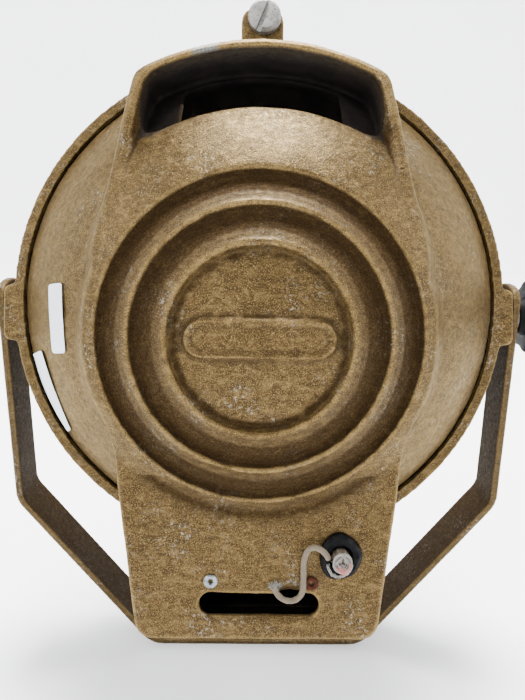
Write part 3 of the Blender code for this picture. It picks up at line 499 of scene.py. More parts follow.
# ---- material tools ------------------------------------------------------------------------------
class Look:
    """Lays out one procedural material."""

    def __init__(self, name):
        self.mat = bpy.data.materials.new(name)
        self.mat.use_nodes = True
        self.tree = self.mat.node_tree
        self.shader = self.tree.nodes["Principled BSDF"]
        self.place = self.node("TexCoord").outputs["Object"]

    def node(self, kind, **settings):
        made = self.tree.nodes.new("ShaderNode" + kind)
        for key, value in settings.items():
            setattr(made, key, value)
        return made

    def put(self, socket, value):
        """Links the socket to another socket, or gives it a plain value."""
        if isinstance(value, bpy.types.NodeSocket):
            self.tree.links.new(value, socket)
        elif isinstance(value, tuple) and len(value) == 3 and socket.type == "RGBA":
            socket.default_value = (*value, 1.0)
        else:
            socket.default_value = value

    def set(self, **values):
        for key, value in values.items():
            self.put(self.shader.inputs[key.replace("_", " ")], value)

    def stretched(self, scale):
        mapping = self.node("Mapping")
        self.put(mapping.inputs["Vector"], self.place)
        mapping.inputs["Scale"].default_value = scale
        return mapping.outputs["Vector"]

    def noise(self, size, detail=2.0, rough=0.5, distortion=0.0, vector=None):
        """Smooth noise; size is the width of a blotch in metres."""
        made = self.node("TexNoise")
        self.put(made.inputs["Vector"], vector or self.place)
        made.inputs["Scale"].default_value = 1.0 / size
        made.inputs["Detail"].default_value = detail
        made.inputs["Roughness"].default_value = rough
        made.inputs["Distortion"].default_value = distortion
        return made.outputs["Fac"]

    def ramp(self, value, low, high, a=0.0, b=1.0):
        """A soft step, from a where the value is at low to b where it is at high."""
        made = self.node("MapRange", interpolation_type="SMOOTHSTEP")
        self.put(made.inputs["Value"], value)
        made.inputs["From Min"].default_value = low
        made.inputs["From Max"].default_value = high
        made.inputs["To Min"].default_value = a
        made.inputs["To Max"].default_value = b
        return made.outputs["Result"]

    def calc(self, operation, a, b=0.5):
        made = self.node("Math", operation=operation)
        made.use_clamp = operation != "SUBTRACT"
        self.put(made.inputs[0], a)
        self.put(made.inputs[1], b)
        return made.outputs[0]

    def times(self, a, b):
        return self.calc("MULTIPLY", a, b)

    def mix(self, factor, a, b):
        made = self.node("Mix", data_type="RGBA")
        self.put(made.inputs[0], factor)
        self.put(made.inputs[6], a)
        self.put(made.inputs[7], b)
        return made.outputs[2]

    def attribute(self, name):
        return self.node("Attribute", attribute_name=name).outputs["Fac"]

    def bump(self, height, depth):
        """Bump of the given depth in metres."""
        made = self.node("Bump")
        made.inputs["Strength"].default_value = 1.0
        made.inputs["Distance"].default_value = depth
        self.put(made.inputs["Height"], height)
        self.put(self.shader.inputs["Normal"], made.outputs["Normal"])


def scaled(colour, factor):
    return tuple(min(1.0, factor * c) for c in colour)


def enamel_colour(look, sand, fine, mottle, vein, base, light, dark):
    """Flat cells with dark veins, fine sparkle, pale scuffs and dust in clusters."""
    blotch = look.noise(0.045, 3.0, 0.6)
    colour = look.mix(look.ramp(blotch, 0.35, 0.68), base, scaled(base, 0.80))
    colour = look.mix(look.ramp(mottle, 0.36, 0.51, 0.70, 0.0), colour, dark)
    colour = look.mix(look.ramp(mottle, 0.51, 0.66, 0.0, 0.42), colour, light)
    colour = look.mix(look.ramp(vein, 0.0, 0.040, 0.60, 0.0), colour, dark)
    colour = look.mix(look.ramp(sand, 0.48, 0.64, 0.0, 0.76), colour, dark)
    colour = look.mix(look.ramp(fine, 0.54, 0.69, 0.0, 0.95), colour, light)
    clusters = look.ramp(look.noise(0.022, 2.0, 0.6), 0.50, 0.70)
    flecks = look.ramp(look.noise(0.0016, 3.0, 0.7), 0.56, 0.66)
    return look.mix(look.times(look.times(clusters, flecks), 0.75), colour, (0.20, 0.19, 0.165))


def worn_colour(look, sand, colour, light):
    """Rubbed edges: brighter paint, partly wear and partly painted highlight along convex edges, then
    unpainted metal where it is worn most and along the painted glint in the hood.
    """
    rub_and_highlight = look.times(look.ramp(look.attribute("edge"), 0.30, 0.90), look.ramp(sand, 0.35, 0.60, 0.15, 1.0))
    colour = look.mix(look.times(rub_and_highlight, 0.72), colour, scaled(light, 1.20))
    chips = look.times(look.noise(0.0022, 3.0, 0.75), 0.5)
    bare = look.ramp(look.calc("ADD", look.times(look.attribute("bare"), 0.25), chips), 0.44, 0.50)
    metal = look.mix(look.ramp(sand, 0.40, 0.60), (0.115, 0.122, 0.128), (0.060, 0.062, 0.060))
    return look.mix(bare, colour, metal)


def hammered_paint(name, base, light, dark, cell, gloss):
    """Bronze-gold hammer enamel, with grime and painted shade in its grooves and recesses, rubbed edges that
    also carry painted highlights, and a dark inside that is partly sooty and partly painted shade.
    """
    look = Look(name)
    flat = look.stretched((0.60, 1.0, 1.15))
    sand = look.noise(0.0009, 2.0, 0.75)
    fine = look.noise(0.00045, 1.0, 0.5)
    mottle = look.noise(0.0036, 3.0, 0.62, 1.0, flat)
    worm = look.noise(cell, 1.0, 0.4, 1.6, flat)
    vein = look.calc("ABSOLUTE", look.calc("SUBTRACT", worm, 0.47))
    colour = enamel_colour(look, sand, fine, mottle, vein, base, light, dark)
    # grooves and recesses darkened: dirt and painted shade
    dirt_and_shade = look.calc("MAXIMUM", look.ramp(look.attribute("groove"), 0.03, 0.55),
                     look.times(look.attribute("soil"), 0.94))
    dirt_and_shade = look.times(dirt_and_shade, look.ramp(sand, 0.30, 0.62, 0.72, 1.0))
    colour = look.mix(look.times(dirt_and_shade, 0.92), colour, (0.012, 0.0065, 0.0030))
    colour = worn_colour(look, sand, colour, light)
    # dark inside colour: soot, and painted shade deep in the hood's pocket and the barrel
    soot = look.attribute("soot")
    inside = look.mix(look.ramp(look.noise(0.012, 3.0, 0.6), 0.35, 0.7), (0.0090, 0.0078, 0.0076),
                      (0.0140, 0.0112, 0.0102))
    matt = look.calc("MAXIMUM", dirt_and_shade, soot)
    clean = look.calc("SUBTRACT", 1.0, matt)
    rough = look.ramp(look.noise(0.0028, 2.0, 0.5), 0.3, 0.7, 0.32, 0.50)
    look.set(Base_Color=look.mix(soot, colour, inside), IOR=1.5,
             Roughness=look.calc("ADD", rough, look.times(matt, 0.45)),
             Metallic=look.times(clean, gloss * 1.5),
             Specular_IOR_Level=look.times(clean, gloss), Specular_Tint=(0.95, 0.78, 0.50, 1.0))
    height = look.times(look.ramp(vein, 0.0, 0.06), 0.14)
    for layer, share in ((mottle, 0.22), (sand, 0.50), (fine, 0.22)):
        height = look.calc("ADD", height, look.times(layer, share))
    look.bump(height, 0.00024)
    return look.mat


GOLD = hammered_paint("hammered_paint", (0.0450, 0.0268, 0.0079), (0.150, 0.099, 0.036),
                      (0.011, 0.0054, 0.0016), 0.0026, 0.42)
# a darker copy of the gold paint for the yoke: painted shade, as the yoke stands in the lamp's shade
SHADED_YOKE_PAINT = hammered_paint("yoke_paint", (0.034, 0.0200, 0.0068), (0.100, 0.068, 0.028),
                            (0.009, 0.0046, 0.0016), 0.0024, 0.16)


def plain_look(name, base, second, size, rough, depth, flecks=0.35, **more):
    """A two-tone material with soft blotches and fine grain."""
    look = Look(name)
    blotch = look.noise(size, 4.0, 0.6)
    grain = look.noise(size * 0.08, 2.0, 0.6)
    colour = look.mix(look.ramp(blotch, 0.35, 0.68), base, second)
    colour = look.mix(look.ramp(grain, 0.55, 0.75, 0.0, flecks), colour, scaled(base, 0.4))
    gloss = look.ramp(blotch, 0.3, 0.7, rough * 0.85, min(1.0, rough * 1.2))
    look.set(Base_Color=colour, Roughness=gloss, **more)
    look.bump(look.calc("ADD", look.times(blotch, 0.4), look.times(grain, 0.6)), depth)
    return look.mat


def worn_metal(name, base, stain, rough, pits=0.0):
    """Machined metal with fine scratches, stains and, where pits is above 0, corrosion pits."""
    look = Look(name)
    streak = look.noise(0.0016, 3.0, 0.6, 0.0, look.stretched((1.0, 8.0, 1.0)))
    cloud = look.noise(0.0045, 4.0, 0.65)
    pit = look.ramp(look.noise(0.0009, 2.0, 0.6), 0.56, 0.68)
    colour = look.mix(look.ramp(cloud, 0.42, 0.70, 0.0, 0.85), base, stain)
    colour = look.mix(look.ramp(streak, 0.50, 0.72, 0.0, 0.35), colour, scaled(base, 1.5))
    colour = look.mix(look.times(pit, 0.25 + 0.65 * pits), colour, scaled(stain, 0.3))
    gloss = look.ramp(cloud, 0.35, 0.70, rough, min(1.0, rough + 0.25))
    look.set(Base_Color=colour, Metallic=1.0 - 0.45 * pits, Roughness=gloss)
    height = look.calc("ADD", look.times(streak, 0.35), look.times(pit, -0.6))
    look.bump(height, 0.00005 + 0.00010 * pits)
    return look.mat


def paper():
    """White sticker paper: faint fibres, handled grey at places, no print."""
    look = Look("label_paper")
    fibres = look.noise(0.0007, 3.0, 0.65, 1.0)
    smudge = look.noise(0.009, 4.0, 0.65)
    colour = look.mix(look.ramp(fibres, 0.40, 0.64), (0.50, 0.54, 0.60), (0.60, 0.63, 0.68))
    colour = look.mix(look.ramp(smudge, 0.52, 0.74, 0.0, 0.45), colour, (0.42, 0.42, 0.42))
    look.set(Base_Color=colour, Roughness=look.ramp(smudge, 0.3, 0.7, 0.42, 0.60), Specular_IOR_Level=0.4)
    look.bump(look.calc("ADD", look.times(fibres, 0.5), look.times(smudge, 0.5)), 0.00005)
    return look.mat


def clear_glass(name, tint, dust):
    """Clear glass with faint pressing waves and a film of dust."""
    look = Look(name)
    film = look.noise(0.018, 4.0, 0.65)
    wave = look.noise(0.010, 1.0, 0.5)
    speck = look.ramp(look.noise(0.0012, 2.0, 0.6), 0.64, 0.72)
    colour = look.mix(look.ramp(film, 0.35, 0.70), tint, scaled(tint, 0.92))
    colour = look.mix(look.times(speck, 0.35), colour, (0.55, 0.53, 0.48))
    look.set(Base_Color=colour, Transmission_Weight=1.0, IOR=1.47,
             Roughness=look.ramp(film, 0.35, 0.75, 0.01, dust))
    look.bump(wave, 0.00006)
    return look.mat


ZINC = worn_metal("zinc_steel", (0.30, 0.295, 0.28), (0.13, 0.115, 0.10), 0.34)
PITTED = worn_metal("pitted_steel", (0.20, 0.195, 0.18), (0.11, 0.105, 0.095), 0.46, 0.8)
BRASS = worn_metal("aged_brass", (0.36, 0.235, 0.085), (0.13, 0.080, 0.035), 0.30)
TUNGSTEN = worn_metal("tungsten", (0.16, 0.165, 0.18), (0.08, 0.08, 0.085), 0.36)
MIRROR = worn_metal("silvered_mirror", (0.72, 0.72, 0.71), (0.50, 0.49, 0.46), 0.06)
ALLOY = worn_metal("rivet_alloy", (0.20, 0.21, 0.215), (0.10, 0.105, 0.11), 0.34)
RUST = plain_look("rusty_steel", (0.050, 0.0145, 0.0070), (0.026, 0.0100, 0.0062), 0.0022, 0.85, 0.00018,
                  Specular_IOR_Level=0.08)
BLACK = plain_look("stove_enamel", (0.005, 0.005, 0.005), (0.009, 0.0085, 0.008), 0.010, 0.50, 0.00005,
                   0.2, Specular_IOR_Level=0.08)
BAKELITE = plain_look("black_phenolic", (0.003, 0.003, 0.0032), (0.006, 0.0055, 0.0055), 0.014, 0.42, 0.00003,
                      0.15, Specular_IOR_Level=0.025)
FIBRE = plain_look("pressed_fibre", (0.060, 0.034, 0.017), (0.040, 0.023, 0.012), 0.004, 0.80, 0.00010)
RUBBER = plain_look("aged_rubber", (0.0016, 0.0018, 0.0022), (0.0032, 0.0032, 0.0036), 0.0040, 0.22, 0.00030,
                    0.2, Specular_IOR_Level=0.07)
CERAMIC = plain_look("glazed_steatite", (0.48, 0.44, 0.36), (0.40, 0.36, 0.29), 0.008, 0.28, 0.00003, 0.15)
BRAID = plain_look("glass_braid", (0.080, 0.060, 0.038), (0.116, 0.090, 0.060), 0.0030, 0.85, 0.00008)
FRAY = plain_look("frayed_threads", (0.150, 0.138, 0.120), (0.225, 0.210, 0.188), 0.0020, 0.80, 0.00005)
PINK_THREAD = plain_look("pink_thread", (0.30, 0.085, 0.080), (0.38, 0.17, 0.14), 0.0016, 0.80, 0.00005)
PAPER = paper()
LENS_GLASS = clear_glass("lens_glass", (0.93, 0.97, 0.95), 0.08)
LAMP_GLASS = clear_glass("lamp_glass", (0.97, 0.98, 0.98), 0.05)


# ---- camera, light and stage ---------------------------------------------------------------------
def build_camera():
    """Looks at the rear of the lamp, nearly along its beam; place and turns are in the lamp's frame."""
    place = LAMP @ Vector((-0.00155, -0.35472, -0.01879))
    yaw, pitch, roll = 0.0094, 0.0177, 0.0105
    ahead = Vector((sin(yaw) * cos(pitch), cos(yaw) * cos(pitch), -sin(pitch)))
    side = Vector((cos(yaw), -sin(yaw), 0.0))
    up = side.cross(ahead)
    right = cos(roll) * side + sin(roll) * up
    above = -sin(roll) * side + cos(roll) * up
    turn = LAMP.to_3x3() @ Matrix((right, above, -ahead)).transposed()
    data = bpy.data.cameras.new("camera")
    data.lens = 34.38
    data.sensor_width = 36.0
    data.clip_start = 0.01
    camera = bpy.data.objects.new("camera", data)
    camera.matrix_world = Matrix.Translation(place) @ turn.to_4x4()
    bpy.context.scene.collection.objects.link(camera)
    bpy.context.scene.camera = camera


def area_light(name, place, target, size, power, colour=(1.0, 1.0, 1.0)):
    data = bpy.data.lights.new(name, "AREA")
    data.size = size
    data.energy = power
    data.color = colour
    o = bpy.data.objects.new(name, data)
    o.location = place
    o.rotation_euler = (Vector(target) - Vector(place)).to_track_quat("-Z", "Y").to_euler()
    bpy.context.scene.collection.objects.link(o)


def build_floor():
    """Pale floor that sweeps up into a backdrop on every side."""
    profile = [(1.6, 0.0), (2.0, 0.06), (2.3, 0.25), (2.5, 0.6), (2.6, 1.2), (2.6, 3.2)]
    segments = 64
    verts = [(0, 0, 0)]
    for r, z in profile:
        turns = [2 * pi * k / segments for k in range(segments)]
        verts += [(r * cos(a), r * sin(a), z) for a in turns]
    faces = [(0, 1 + k, 1 + (k + 1) % segments) for k in range(segments)]
    for i in range(len(profile) - 1):
        a = 1 + i * segments
        for k in range(segments):
            m = (k + 1) % segments
            faces.append((a + k, a + segments + k, a + segments + m, a + m))
    mesh = bpy.data.meshes.new("floor")
    mesh.from_pydata(verts, [], faces)
    mesh.shade_smooth()
    look = Look("floor")
    shade = look.noise(0.35, 2.0, 0.5)
    look.set(Base_Color=look.mix(look.ramp(shade, 0.3, 0.7), (0.80, 0.81, 0.83), (0.84, 0.845, 0.86)),
             Roughness=0.75)
    look.bump(look.noise(0.004, 3.0, 0.6), 0.00002)
    mesh.materials.append(look.mat)
    floor = bpy.data.objects.new("floor", mesh)
    floor.location = (0, 0, -0.0002)
    bpy.context.scene.collection.objects.link(floor)


def build_lights():
    """Soft light from above, from both sides and from behind the camera, and a wash on the backdrop."""
    world = bpy.data.worlds.new("studio")
    world.use_nodes = True
    world.node_tree.nodes["Background"].inputs["Color"].default_value = (0.93, 0.96, 1.0, 1.0)
    world.node_tree.nodes["Background"].inputs["Strength"].default_value = 0.70
    bpy.context.scene.world = world
    area_light("top_light", (0.08, 0.34, 1.9), (0, 0, 0.2), 0.8, 205.0, (1.0, 0.99, 0.97))
    area_light("backdrop_light", (0.0, 1.0, 2.3), (0, 2.4, 0.5), 1.2, 85.0)
    for side, name in SIDES:
        area_light(name + "_light", (1.5 * side, -0.5, 1.15), (0, 0, 0.22), 0.9, 20.0, (1.0, 0.98, 0.95))
    area_light("window_light", (-0.9, -1.7, 1.5), (0, 0, 0.2), 1.0, 26.0)


# ---- rear casting --------------------------------------------------------------------------------
def dome_y(x, z, proud=0.0):
    """Rear surface of the dome's sphere over (x, z)."""
    r = DOME_R + proud
    return DOME_CENTRE_Y - np.sqrt(np.maximum(r * r - x * x - z * z, 0.0))


def pad_outline():
    """Outside of the raised pad, hood and box, (x, z), from the top clockwise."""
    shoulder = degrees(asin(HOOD_HALF / HOOD_R))
    half = arc(0, 0, HOOD_R, 90, 90 - shoulder, 12)
    half += [(0.0586, 0.1036), (0.0602, 0.1008), (0.0612, 0.0965)]
    bulge, waist = (0.0702, 0.0607), (0.0755, 0.0100)
    for i in range(1, 10):
        t = i / 10
        half.append(tuple((1 - t) ** 2 * a + 2 * t * (1 - t) * b + t * t * c
                          for a, b, c in zip((0.0612, 0.0965), bulge, waist)))
    start = degrees(atan2(waist[1] - BOSS_Z, waist[0]))
    half += arc(0, BOSS_Z, SHOULDER_R, start, -24, 16)
    corner = 0.0090
    box_top, box_low = (0.0693, -0.0740), (0.0594, BOX_BOTTOM_Z + corner)
    half += [box_top, (0.0676, -0.0940), box_low]
    half += arc(box_low[0] - corner, BOX_BOTTOM_Z + corner, corner, -6, -90, 8)
    half += [(0.0, BOX_BOTTOM_Z)]
    return half + mirrored(half[1:-1])


def distance_inside(x, z, line):
    """Distance of each point from a closed line."""
    best = np.full(x.shape, 1.0)
    for (ax, az), (bx, bz) in zip(line, np.roll(line, -1, axis=0)):
        dx, dz = bx - ax, bz - az
        t = np.clip(((x - ax) * dx + (z - az) * dz) / (dx * dx + dz * dz), 0.0, 1.0)
        best = np.minimum(best, np.hypot(x - ax - t * dx, z - az - t * dz))
    return best


def badge_height(x, z):
    """A blank raised nameplate on the disc: a bar with round ends and a rim."""
    reach, half, rim = 0.0252, 0.0096, 0.0020
    d = np.hypot(np.maximum(np.abs(x) - reach, 0.0), z - (BOSS_Z + 0.0005)) - half
    plate = 0.0009 * ease(-d / 0.0012)
    border = 0.0013 * np.exp(-((d + rim) / 0.0012) ** 2)
    return plate + border


def pad_surface(x, z, edge):
    """Rear surface of the pad: sphere, hood ridge, box plate, ribs and disc."""
    y = dome_y(x, z, PAD)
    crest = HOOD_WALL * 0.55
    ridge = LIP_Y + 0.034 * ease((edge - HOOD_WALL) / 0.013) + 0.0016 * np.clip(1 - edge / crest, 0, 1) ** 2
    y = np.where(z > 0.03, lower(y, ridge, 0.0022 + 0.0060 * ease((0.080 - z) / 0.012)), y)
    y = np.where(z < -0.06, lower(y, np.full_like(y, PLATE_Y), 0.0030), y)
    r = np.hypot(x, z - BOSS_Z)
    depth = np.interp(r, RIB_PROFILE[:, 0], RIB_PROFILE[:, 1])
    return y + np.where(r < RIB_OUTER_R, depth, 0.0) - badge_height(x, z)


def pad_top(line, spokes, reach):
    """Rows of points over the pad, from its middle out to the line round it."""
    radii = np.linspace(0.001, RIB_OUTER_R, 96)
    shares = np.linspace(0.0, 1.0, 27)[1:]
    rows = [spokes * r + (0.0, BOSS_Z) for r in radii]
    rows += [spokes * (RIB_OUTER_R + (reach - RIB_OUTER_R) * s)[:, None] + (0.0, BOSS_Z) for s in shares]
    x, z = np.moveaxis(np.array(rows), -1, 0)
    return np.stack([x, pad_surface(x, z, distance_inside(x, z, line)), z], axis=-1)


def pad_wall(line, spokes, top):
    """Rows down the pad's wall: a broad flank beside the ribs, almost upright at hood and box."""
    tangent = np.roll(line, -1, axis=0) - np.roll(line, 1, axis=0)
    out = np.stack([-tangent[:, 1], tangent[:, 0]], axis=1)
    out /= np.hypot(*out.T)[:, None]
    out *= np.sign((out * spokes).sum(1))[:, None]
    width = 0.0005 + 0.0085 * ease((line[:, 1] + 0.070) / 0.022) * (1 - ease((line[:, 1] - 0.022) / 0.040))
    rows = []
    for s in (0.15, 0.3, 0.45, 0.6, 0.75, 0.9, 1.0):
        x, z = (line + out * (width * s)[:, None]).T
        foot = np.minimum(dome_y(x, z) + 0.0006, -GAP)
        rows.append(np.stack([x, top + (foot - top) * ease(s), z], axis=-1))
    rows.append(np.stack([x, np.full_like(x, -GAP), z], axis=-1))
    return np.array(rows)


def build_pad():
    """The raised pad as a closed body that reaches down to the ring."""
    count = 340
    line = resampled(pad_outline(), count)
    spokes = line - np.array([0.0, BOSS_Z])
    reach = np.hypot(*spokes.T)
    spokes = spokes / reach[:, None]
    top = pad_top(line, spokes, reach)
    grid = np.concatenate([top, pad_wall(line, spokes, top[-1, :, 1])])
    centre_y = float(pad_surface(np.zeros(1), np.full(1, BOSS_Z), np.ones(1))[0])
    points = [tuple(v) for v in grid.reshape(-1, 3)]
    return capped(points, count, (0.0, centre_y, BOSS_Z), (0.0, -GAP, BOSS_Z))


def cap(proud, front_y, rings, segments):
    """The dome's spherical cap as a solid, cut off at front_y."""
    radius = DOME_R + proud
    widest = asin(min(1.0, (DOME_BASE_R + proud) / radius))
    profile = [(0.0, DOME_CENTRE_Y - radius)]
    profile += [(radius * sin(widest * i / rings), DOME_CENTRE_Y - radius * cos(widest * i / rings))
                for i in range(1, rings + 1)]
    profile += [(profile[-1][0], front_y), (0.0, front_y)]
    return turned(profile, segments, False)


def hood_pocket():
    """Outline of the space behind the hood's mouth, (x, z)."""
    roof, side = HOOD_R - HOOD_WALL, HOOD_HALF
    turn_in = degrees(acos(0.0520 / roof))
    sill = degrees(acos(0.0470 / SILL_R))
    right = [(side - 0.0012, 0.0985), (side, 0.0940), (side + 0.0010, 0.0850), (side + 0.0006, 0.0805),
             (side - 0.0008, 0.0780), (0.0535, 0.0768), (0.0505, 0.0766)]
    return (arc(0, 0, roof, 180 - turn_in, turn_in, 30) + right
            + arc(0, BOSS_Z, SILL_R, sill, 180 - sill, 30) + mirrored(right))


def hood_window():
    """Opening in the dome behind the hood; its lower edge hides behind the sill."""
    high, half, low = 0.1120, 0.0390, SILL_R + 0.0004
    a = degrees(acos(half / high))
    b = degrees(acos(half / low))
    return arc(0, 0, high, 180 - a, a, 16) + arc(0, BOSS_Z, low, b, 180 - b, 16)


def box_cavity():
    """Outline of the space inside the box, which runs on into the tray, (x, z)."""
    bottom = BOX_BOTTOM_Z + WALL
    right = [(0.0560, BOX_TOP_Z), (0.0630, BOX_TOP_Z - 0.0020), (0.0558, bottom + 0.006), (0.0500, bottom)]
    return both_sides(right)


# (x, height) along the crescent broken out above the cooling slot
SCALLOP = [(0.0240, 0.0), (0.0225, 0.0018), (0.0200, 0.0032), (0.0165, 0.0040), (0.0130, 0.0034),
           (0.0108, 0.0020), (0.0094, 0.0)]


def scallop(share):
    """Upper edge of the broken-out crescent above the cooling slot, (x, z)."""
    return [(x, SLOT_Z + SLOT_R - 0.0005 + h * share) for x, h in SCALLOP]


def slot_outline():
    right = arc(SLOT_X + SLOT_HALF - SLOT_R, SLOT_Z, SLOT_R, -90, 90, 16)
    left = arc(SLOT_X - SLOT_HALF + SLOT_R, SLOT_Z, SLOT_R, 90, 270, 16)
    return right + scallop(0.42) + left


def rounded_lug(half, low, high):
    r = 0.0070
    return ([(-half, low), (half, low)] + arc(half - r, high - r, r, 0, 90, 10)
            + arc(-half + r, high - r, r, 90, 180, 10))


def knuckle(x0, x1, side):
    """A barrel and web of the cover's hinge; side is -1 for the cover's, 1 for the ring's."""
    barrel = moved(rod(KNUCKLE_R, x0, x1, 32, "X"), z=HINGE_Z)
    near, far = sorted((side * (GAP + 0.0002), side * (KNUCKLE_R - 0.0004)))
    web = block(x0 + 0.0005, x1 - 0.0005, near, far, HINGE_Z, BOX_BOTTOM_Z + 0.0010)
    return (ADD, web), (ADD, barrel)


def rear_solid():
    """The rear casting as it left the mould: cap, pad and lugs, hollowed and cut open."""
    behind, ahead = -0.050, 0.010
    pad = carve(build_pad(), (CUT, prism(hood_pocket(), -0.080, ahead)))
    crescent = scallop(1.0) + [(SCALLOP[-1][0], SLOT_Z), (SCALLOP[0][0], SLOT_Z)]
    ledge = rounded_box(SLOT_X - SLOT_HALF + 0.0015, SLOT_X + SLOT_HALF - 0.0030,
                        SLOT_Z - SLOT_R - 0.0026, SLOT_Z, 0.0020)
    steps = [
        (ADD, pad),
        (ADD, prism(rounded_lug(0.0108, 0.1130, 0.1520), LUG_BACK_Y, -GAP)),
        (CUT, cap(-WALL, ahead, 16, 96)),
        (CUT, prism(box_cavity(), PLATE_Y + WALL, ahead)),
        (CUT, prism(hood_window(), -0.060, 0.002)),
        (CUT, prism(slot_outline(), behind, PLATE_Y + WALL + 0.002)),
        (CUT, prism(crescent, behind, PLATE_Y + 0.0019)),
        (CUT, prism(ledge, behind, PLATE_Y + 0.0009)),
        drilled(0.0082, behind, -0.020, x=GROMMET_X, z=GROMMET_Z),
        drilled(0.0042, -0.012, 0.002, x=SCREW_X, z=LUG_HOLE_Z),
        *knuckle(*across(-1, 0.0125, 0.0270), -1),
        *knuckle(*across(1, 0.0125, 0.0270), -1),
        drilled(PIN_BORE, -0.040, 0.040, 24, "X", z=HINGE_Z),
    ]
    return remeshed(carve(cap(0.0, 0.0035, 24, 160), *steps), VOXEL, 2)


def rear_soot(x, y, z):
    """Sooty inside of dome and box; in the hood's pocket sooty paint and painted shade that deepen away from
    the mouth; and the painted glint at the hood window's left edge, kept clear of it.
    """
    from_axis = np.hypot(x, z)
    depth = DOME_R - np.sqrt(x * x + z * z + (y - DOME_CENTRE_Y) ** 2)
    dome = ease((depth - 0.0016) / 0.0012) * (z > BOX_TOP_Z)
    box = (z <= BOX_TOP_Z) * ease((y - PLATE_Y - 0.0028) / 0.0010) * inside_box(x, z)
    # painted shade: the pocket darkens away from its mouth
    pocket = (from_axis > 0.0875) * (from_axis < HOOD_R - 0.003)
    pocket = pocket * (np.abs(x) < HOOD_HALF + 0.0012) * (z > 0.074)
    pocket = pocket * (0.82 * ease((y - LIP_Y - 0.0008) / 0.0024) + 0.18 * ease((y - LIP_Y) / 0.0200))
    # painted glint: a bright line down the left edge of the hood's window, drawn as unpainted metal
    painted_glint = np.exp(-((x + 0.0388) / 0.0008) ** 2)
    painted_glint = painted_glint * (from_axis > 0.0860) * (z > 0.0) * (z < 0.0960) * (y > -0.040)
    soot = np.maximum(np.maximum(dome, box), pocket)
    return np.clip(soot - painted_glint, 0.0, 1.0), painted_glint


def rear_bare(x, y, z):
    """Bare metal on the hood's lip and round the broken crescent above the cooling slot."""
    lip = ease((LIP_Y + 0.0034 - y) / 0.0016) * (z > 0.095) * np.exp(-((x + 0.0262) / 0.0090) ** 4)
    rubbed = np.exp(-((np.hypot(x - 0.0163, z + 0.1440) - 0.0072) / 0.0013) ** 2)
    rubbed = rubbed * (z > -0.1425) * (z < -0.1340) * (y < PLATE_Y + 0.003)
    return np.maximum(lip, 1.2 * rubbed)


def rear_soil(x, y, z):
    """Darker, duller paint between the ribs, partly grime and partly painted shade; painted shade under the
    pad's rim where it meets the plate and on the floor of the broken-out crescent.
    """
    r = np.hypot(x, z - BOSS_Z)
    recess = ease(np.interp(r, RIB_PROFILE[:, 0], RIB_PROFILE[:, 1]) / 0.0024)
    recess = recess * (r > 0.0440) * (r < RIB_OUTER_R)
    # painted shade: the band where the pad's rim turns down to meet the plate
    under_rim = np.exp(-((r - 0.0840) / 0.0042) ** 2) * (z < -0.0850) * (np.abs(x) < 0.0680)
    outside = (y < dome_y(x, z, PAD) + 0.0080) * (y < -0.0200)
    top = SLOT_Z + SLOT_R
    # painted shade on the recessed floor of the crescent above the slot
    broken = 0.75 * (np.abs(x - 0.0166) < 0.0085) * (z > top) * (z < top + 0.0050)
    broken = broken * ease((y - PLATE_Y - 0.0006) / 0.0008)
    return np.maximum(np.maximum(recess, under_rim) * outside, broken)


def build_rear_housing():
    mesh = roughen(roughen(rear_solid(), 0.014, 0.00022), 0.0035, 0.00008, 5.0)
    mark(mesh)
    place = points_of(mesh).T
    soot, painted_glint = rear_soot(*place)
    # the painted glint joins the worn spots and is drawn as unpainted metal
    bare = np.clip(np.maximum(rear_bare(*place), painted_glint), 0.0, 1.0)
    write_attributes(mesh, soot=soot, bare=bare, soil=rear_soil(*place))
    return mesh


# ---- front casting -------------------------------------------------------------------------------
def flank(inset=0.0):
    """Right-hand flank of box and tray, (x, z) from the top down, leaning in towards the bottom."""
    bottom = BOX_BOTTOM_Z + inset
    return [(0.0650 - inset, TRAY_TOP_Z), (0.0594 - inset, bottom + 0.009),
            (0.0567 - inset, bottom + 0.0026), (0.0504, bottom)]


def tray_outline(inset=0.0):
    return both_sides(flank(inset))


def inside_box(x, z):
    """True within the walls of box and tray."""
    half, height = np.array(flank()[::-1]).T
    return (z > BOX_BOTTOM_Z + 0.0020) * (np.abs(x) < np.interp(z, height, half) - 0.0018)


def rounded_box(x0, x1, z0, z1, r, steps=6):
    return (
        arc(x1 - r, z1 - r, r, 0, 90, steps) + arc(x0 + r, z1 - r, r, 90, 180, steps)
        + arc(x0 + r, z0 + r, r, 180, 270, steps) + arc(x1 - r, z0 + r, r, 270, 360, steps)
    )


